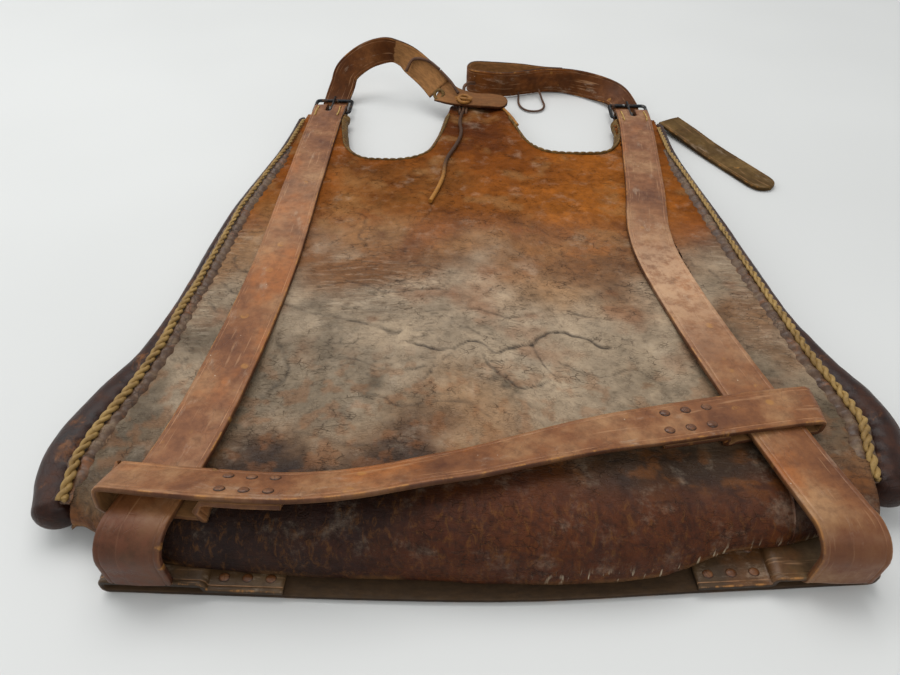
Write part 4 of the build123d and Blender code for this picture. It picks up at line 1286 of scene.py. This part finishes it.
def thong_curve(name, points, diameter, material, body, node, **facts):
    """Free thong: a smooth line through the route that the CAD tube follows, in metres."""
    data = bpy.data.curves.new(name, "CURVE")
    data.dimensions = "3D"
    spline = data.splines.new("NURBS")
    spline.points.add(len(points) - 1)
    for point, place in zip(spline.points, points):
        point.co = (*place, 1)
    spline.order_u = 3
    spline.use_endpoint_u = True
    spline.resolution_u = 12
    data.bevel_depth = diameter / 2
    data.bevel_resolution = 4
    data.use_fill_caps = True
    data.materials.append(material)
    thong = new_object(name, data)
    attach(thong, body)
    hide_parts(node)


def thong_z(x, y):
    """Height of a thong's centre where it lies on the pad."""
    return round(float(front_height(np.array(x), np.array(y))) + 2.6, 2)


def make_thongs(dark):
    tie = [(x * MM, y * MM, thong_z(x, y) * MM) for x, y in
           ((-21, 294.5), (-25, 268), (-20, 234), (-26, 200), (-37, 162), (-36, 118), (-47, 76))]
    thong_curve("tie_thong_end", tie, 0.004, tie_hide(170, 105), "pad", "tie_thong", length=0.222,
                far_end="bare")
    thong_curve("eye_thong_end", [(-0.019, 0.324, 0.020), (-0.022, 0.338, 0.026), (-0.018, 0.352, 0.027),
                                  (-0.011, 0.366, 0.022), (-0.008, 0.374, 0.018)],
                0.004, dark, "right_shoulder", "eye_thong", length=0.055, far_end="object")
    thong_curve("hanging_loop_thong", [
        (0.050, 0.3755, 0.006), (0.049, 0.362, 0.0022), (0.050, 0.345, 0.0016), (0.060, 0.331, 0.0016),
        (0.076, 0.332, 0.0016), (0.083, 0.346, 0.0016), (0.080, 0.362, 0.0022), (0.076, 0.381, 0.008)],
        0.0026, dark, "right_shoulder", "hanging_loop", length=0.113, far_end="object")


# ---- everything ----
harness = strap_leather("harness_leather", tone(84, 48, 28), tone(126, 80, 48), tone(156, 116, 80),
                        tone(158, 92, 42), tone(128, 90, 54), crack_share=0.22)
back_harness = strap_leather("back_harness_leather", tone(52, 38, 24), tone(80, 60, 40), tone(108, 86, 60),
                             tone(104, 66, 36), tone(70, 52, 34), spotted=0.0)
shoulder = strap_leather("shoulder_leather", tone(56, 32, 16), tone(86, 50, 24), tone(112, 70, 38),
                         tone(126, 72, 32), tone(150, 106, 66), specular=0.1)
tail_side = strap_leather("tail_leather", tone(62, 44, 22), tone(88, 66, 34), tone(116, 90, 52),
                          tone(112, 78, 38), tone(100, 78, 46), gloss=0.55, specular=0.12)
stud = simple_leather("stud_leather", tone(64, 38, 22), tone(100, 62, 36), tone(128, 86, 52), 8, 0.36, 0.2,
                      rimmed=True)
roll = simple_leather("roll_leather", tone(26, 14, 10), tone(48, 28, 20), tone(70, 42, 28), 16, 0.36, 0.6,
                      pale=tone(124, 78, 40), specular=0.2, cracked=0.2)
binding = simple_leather("binding_leather", tone(52, 36, 26), tone(84, 62, 46), tone(122, 102, 80), 12, 0.45,
                         0.4, pale=tone(128, 78, 42))
edging = simple_leather("edging_leather", tone(56, 42, 22), tone(96, 72, 38), tone(134, 104, 58), 7, 0.55,
                        0.3, specular=0.2)
lacing = thong_hide("lacing_rawhide", tone(116, 88, 46), tone(166, 134, 78))
dark_thong = thong_hide("dark_thong", tone(52, 32, 18), tone(96, 62, 36))
ochre_thong = thong_hide("ochre_thong", tone(120, 76, 26), tone(166, 114, 46))
steel, burr, wool, yarn = black_steel(), brass_burr(), felt(), thread()

make_thongs(dark_thong)
make_front_hide(hide_leather())
make_back_hide(suede())
make_stuffing(wool)
for side in ("left", "right"):
    make_roll(side, roll)
    make_binding(side, binding)
    make_lacing(side, lacing)
    make_arm_edging(side, edging)
    make_main_strap(side, harness)
    make_corner_stitches(side, yarn)
    for name, material, slot in ((f"{side}_buckle_frame", steel, "buckle_steel"),
                                 (f"{side}_buckle_prong", steel, "buckle_steel"),
                                 (f"{side}_main_rivets", burr, "stud_metal"),
                                 (f"{side}_roll_core", wool, "roll_filling")):
        nodes[name].data.materials.clear()
        nodes[name].data.materials.append(material)
make_front_cross(harness, stud)
make_back_cross(back_harness, stud)
make_shoulder_straps(shoulder, tail_side, edging)
make_lashing(dark_thong, ochre_thong)
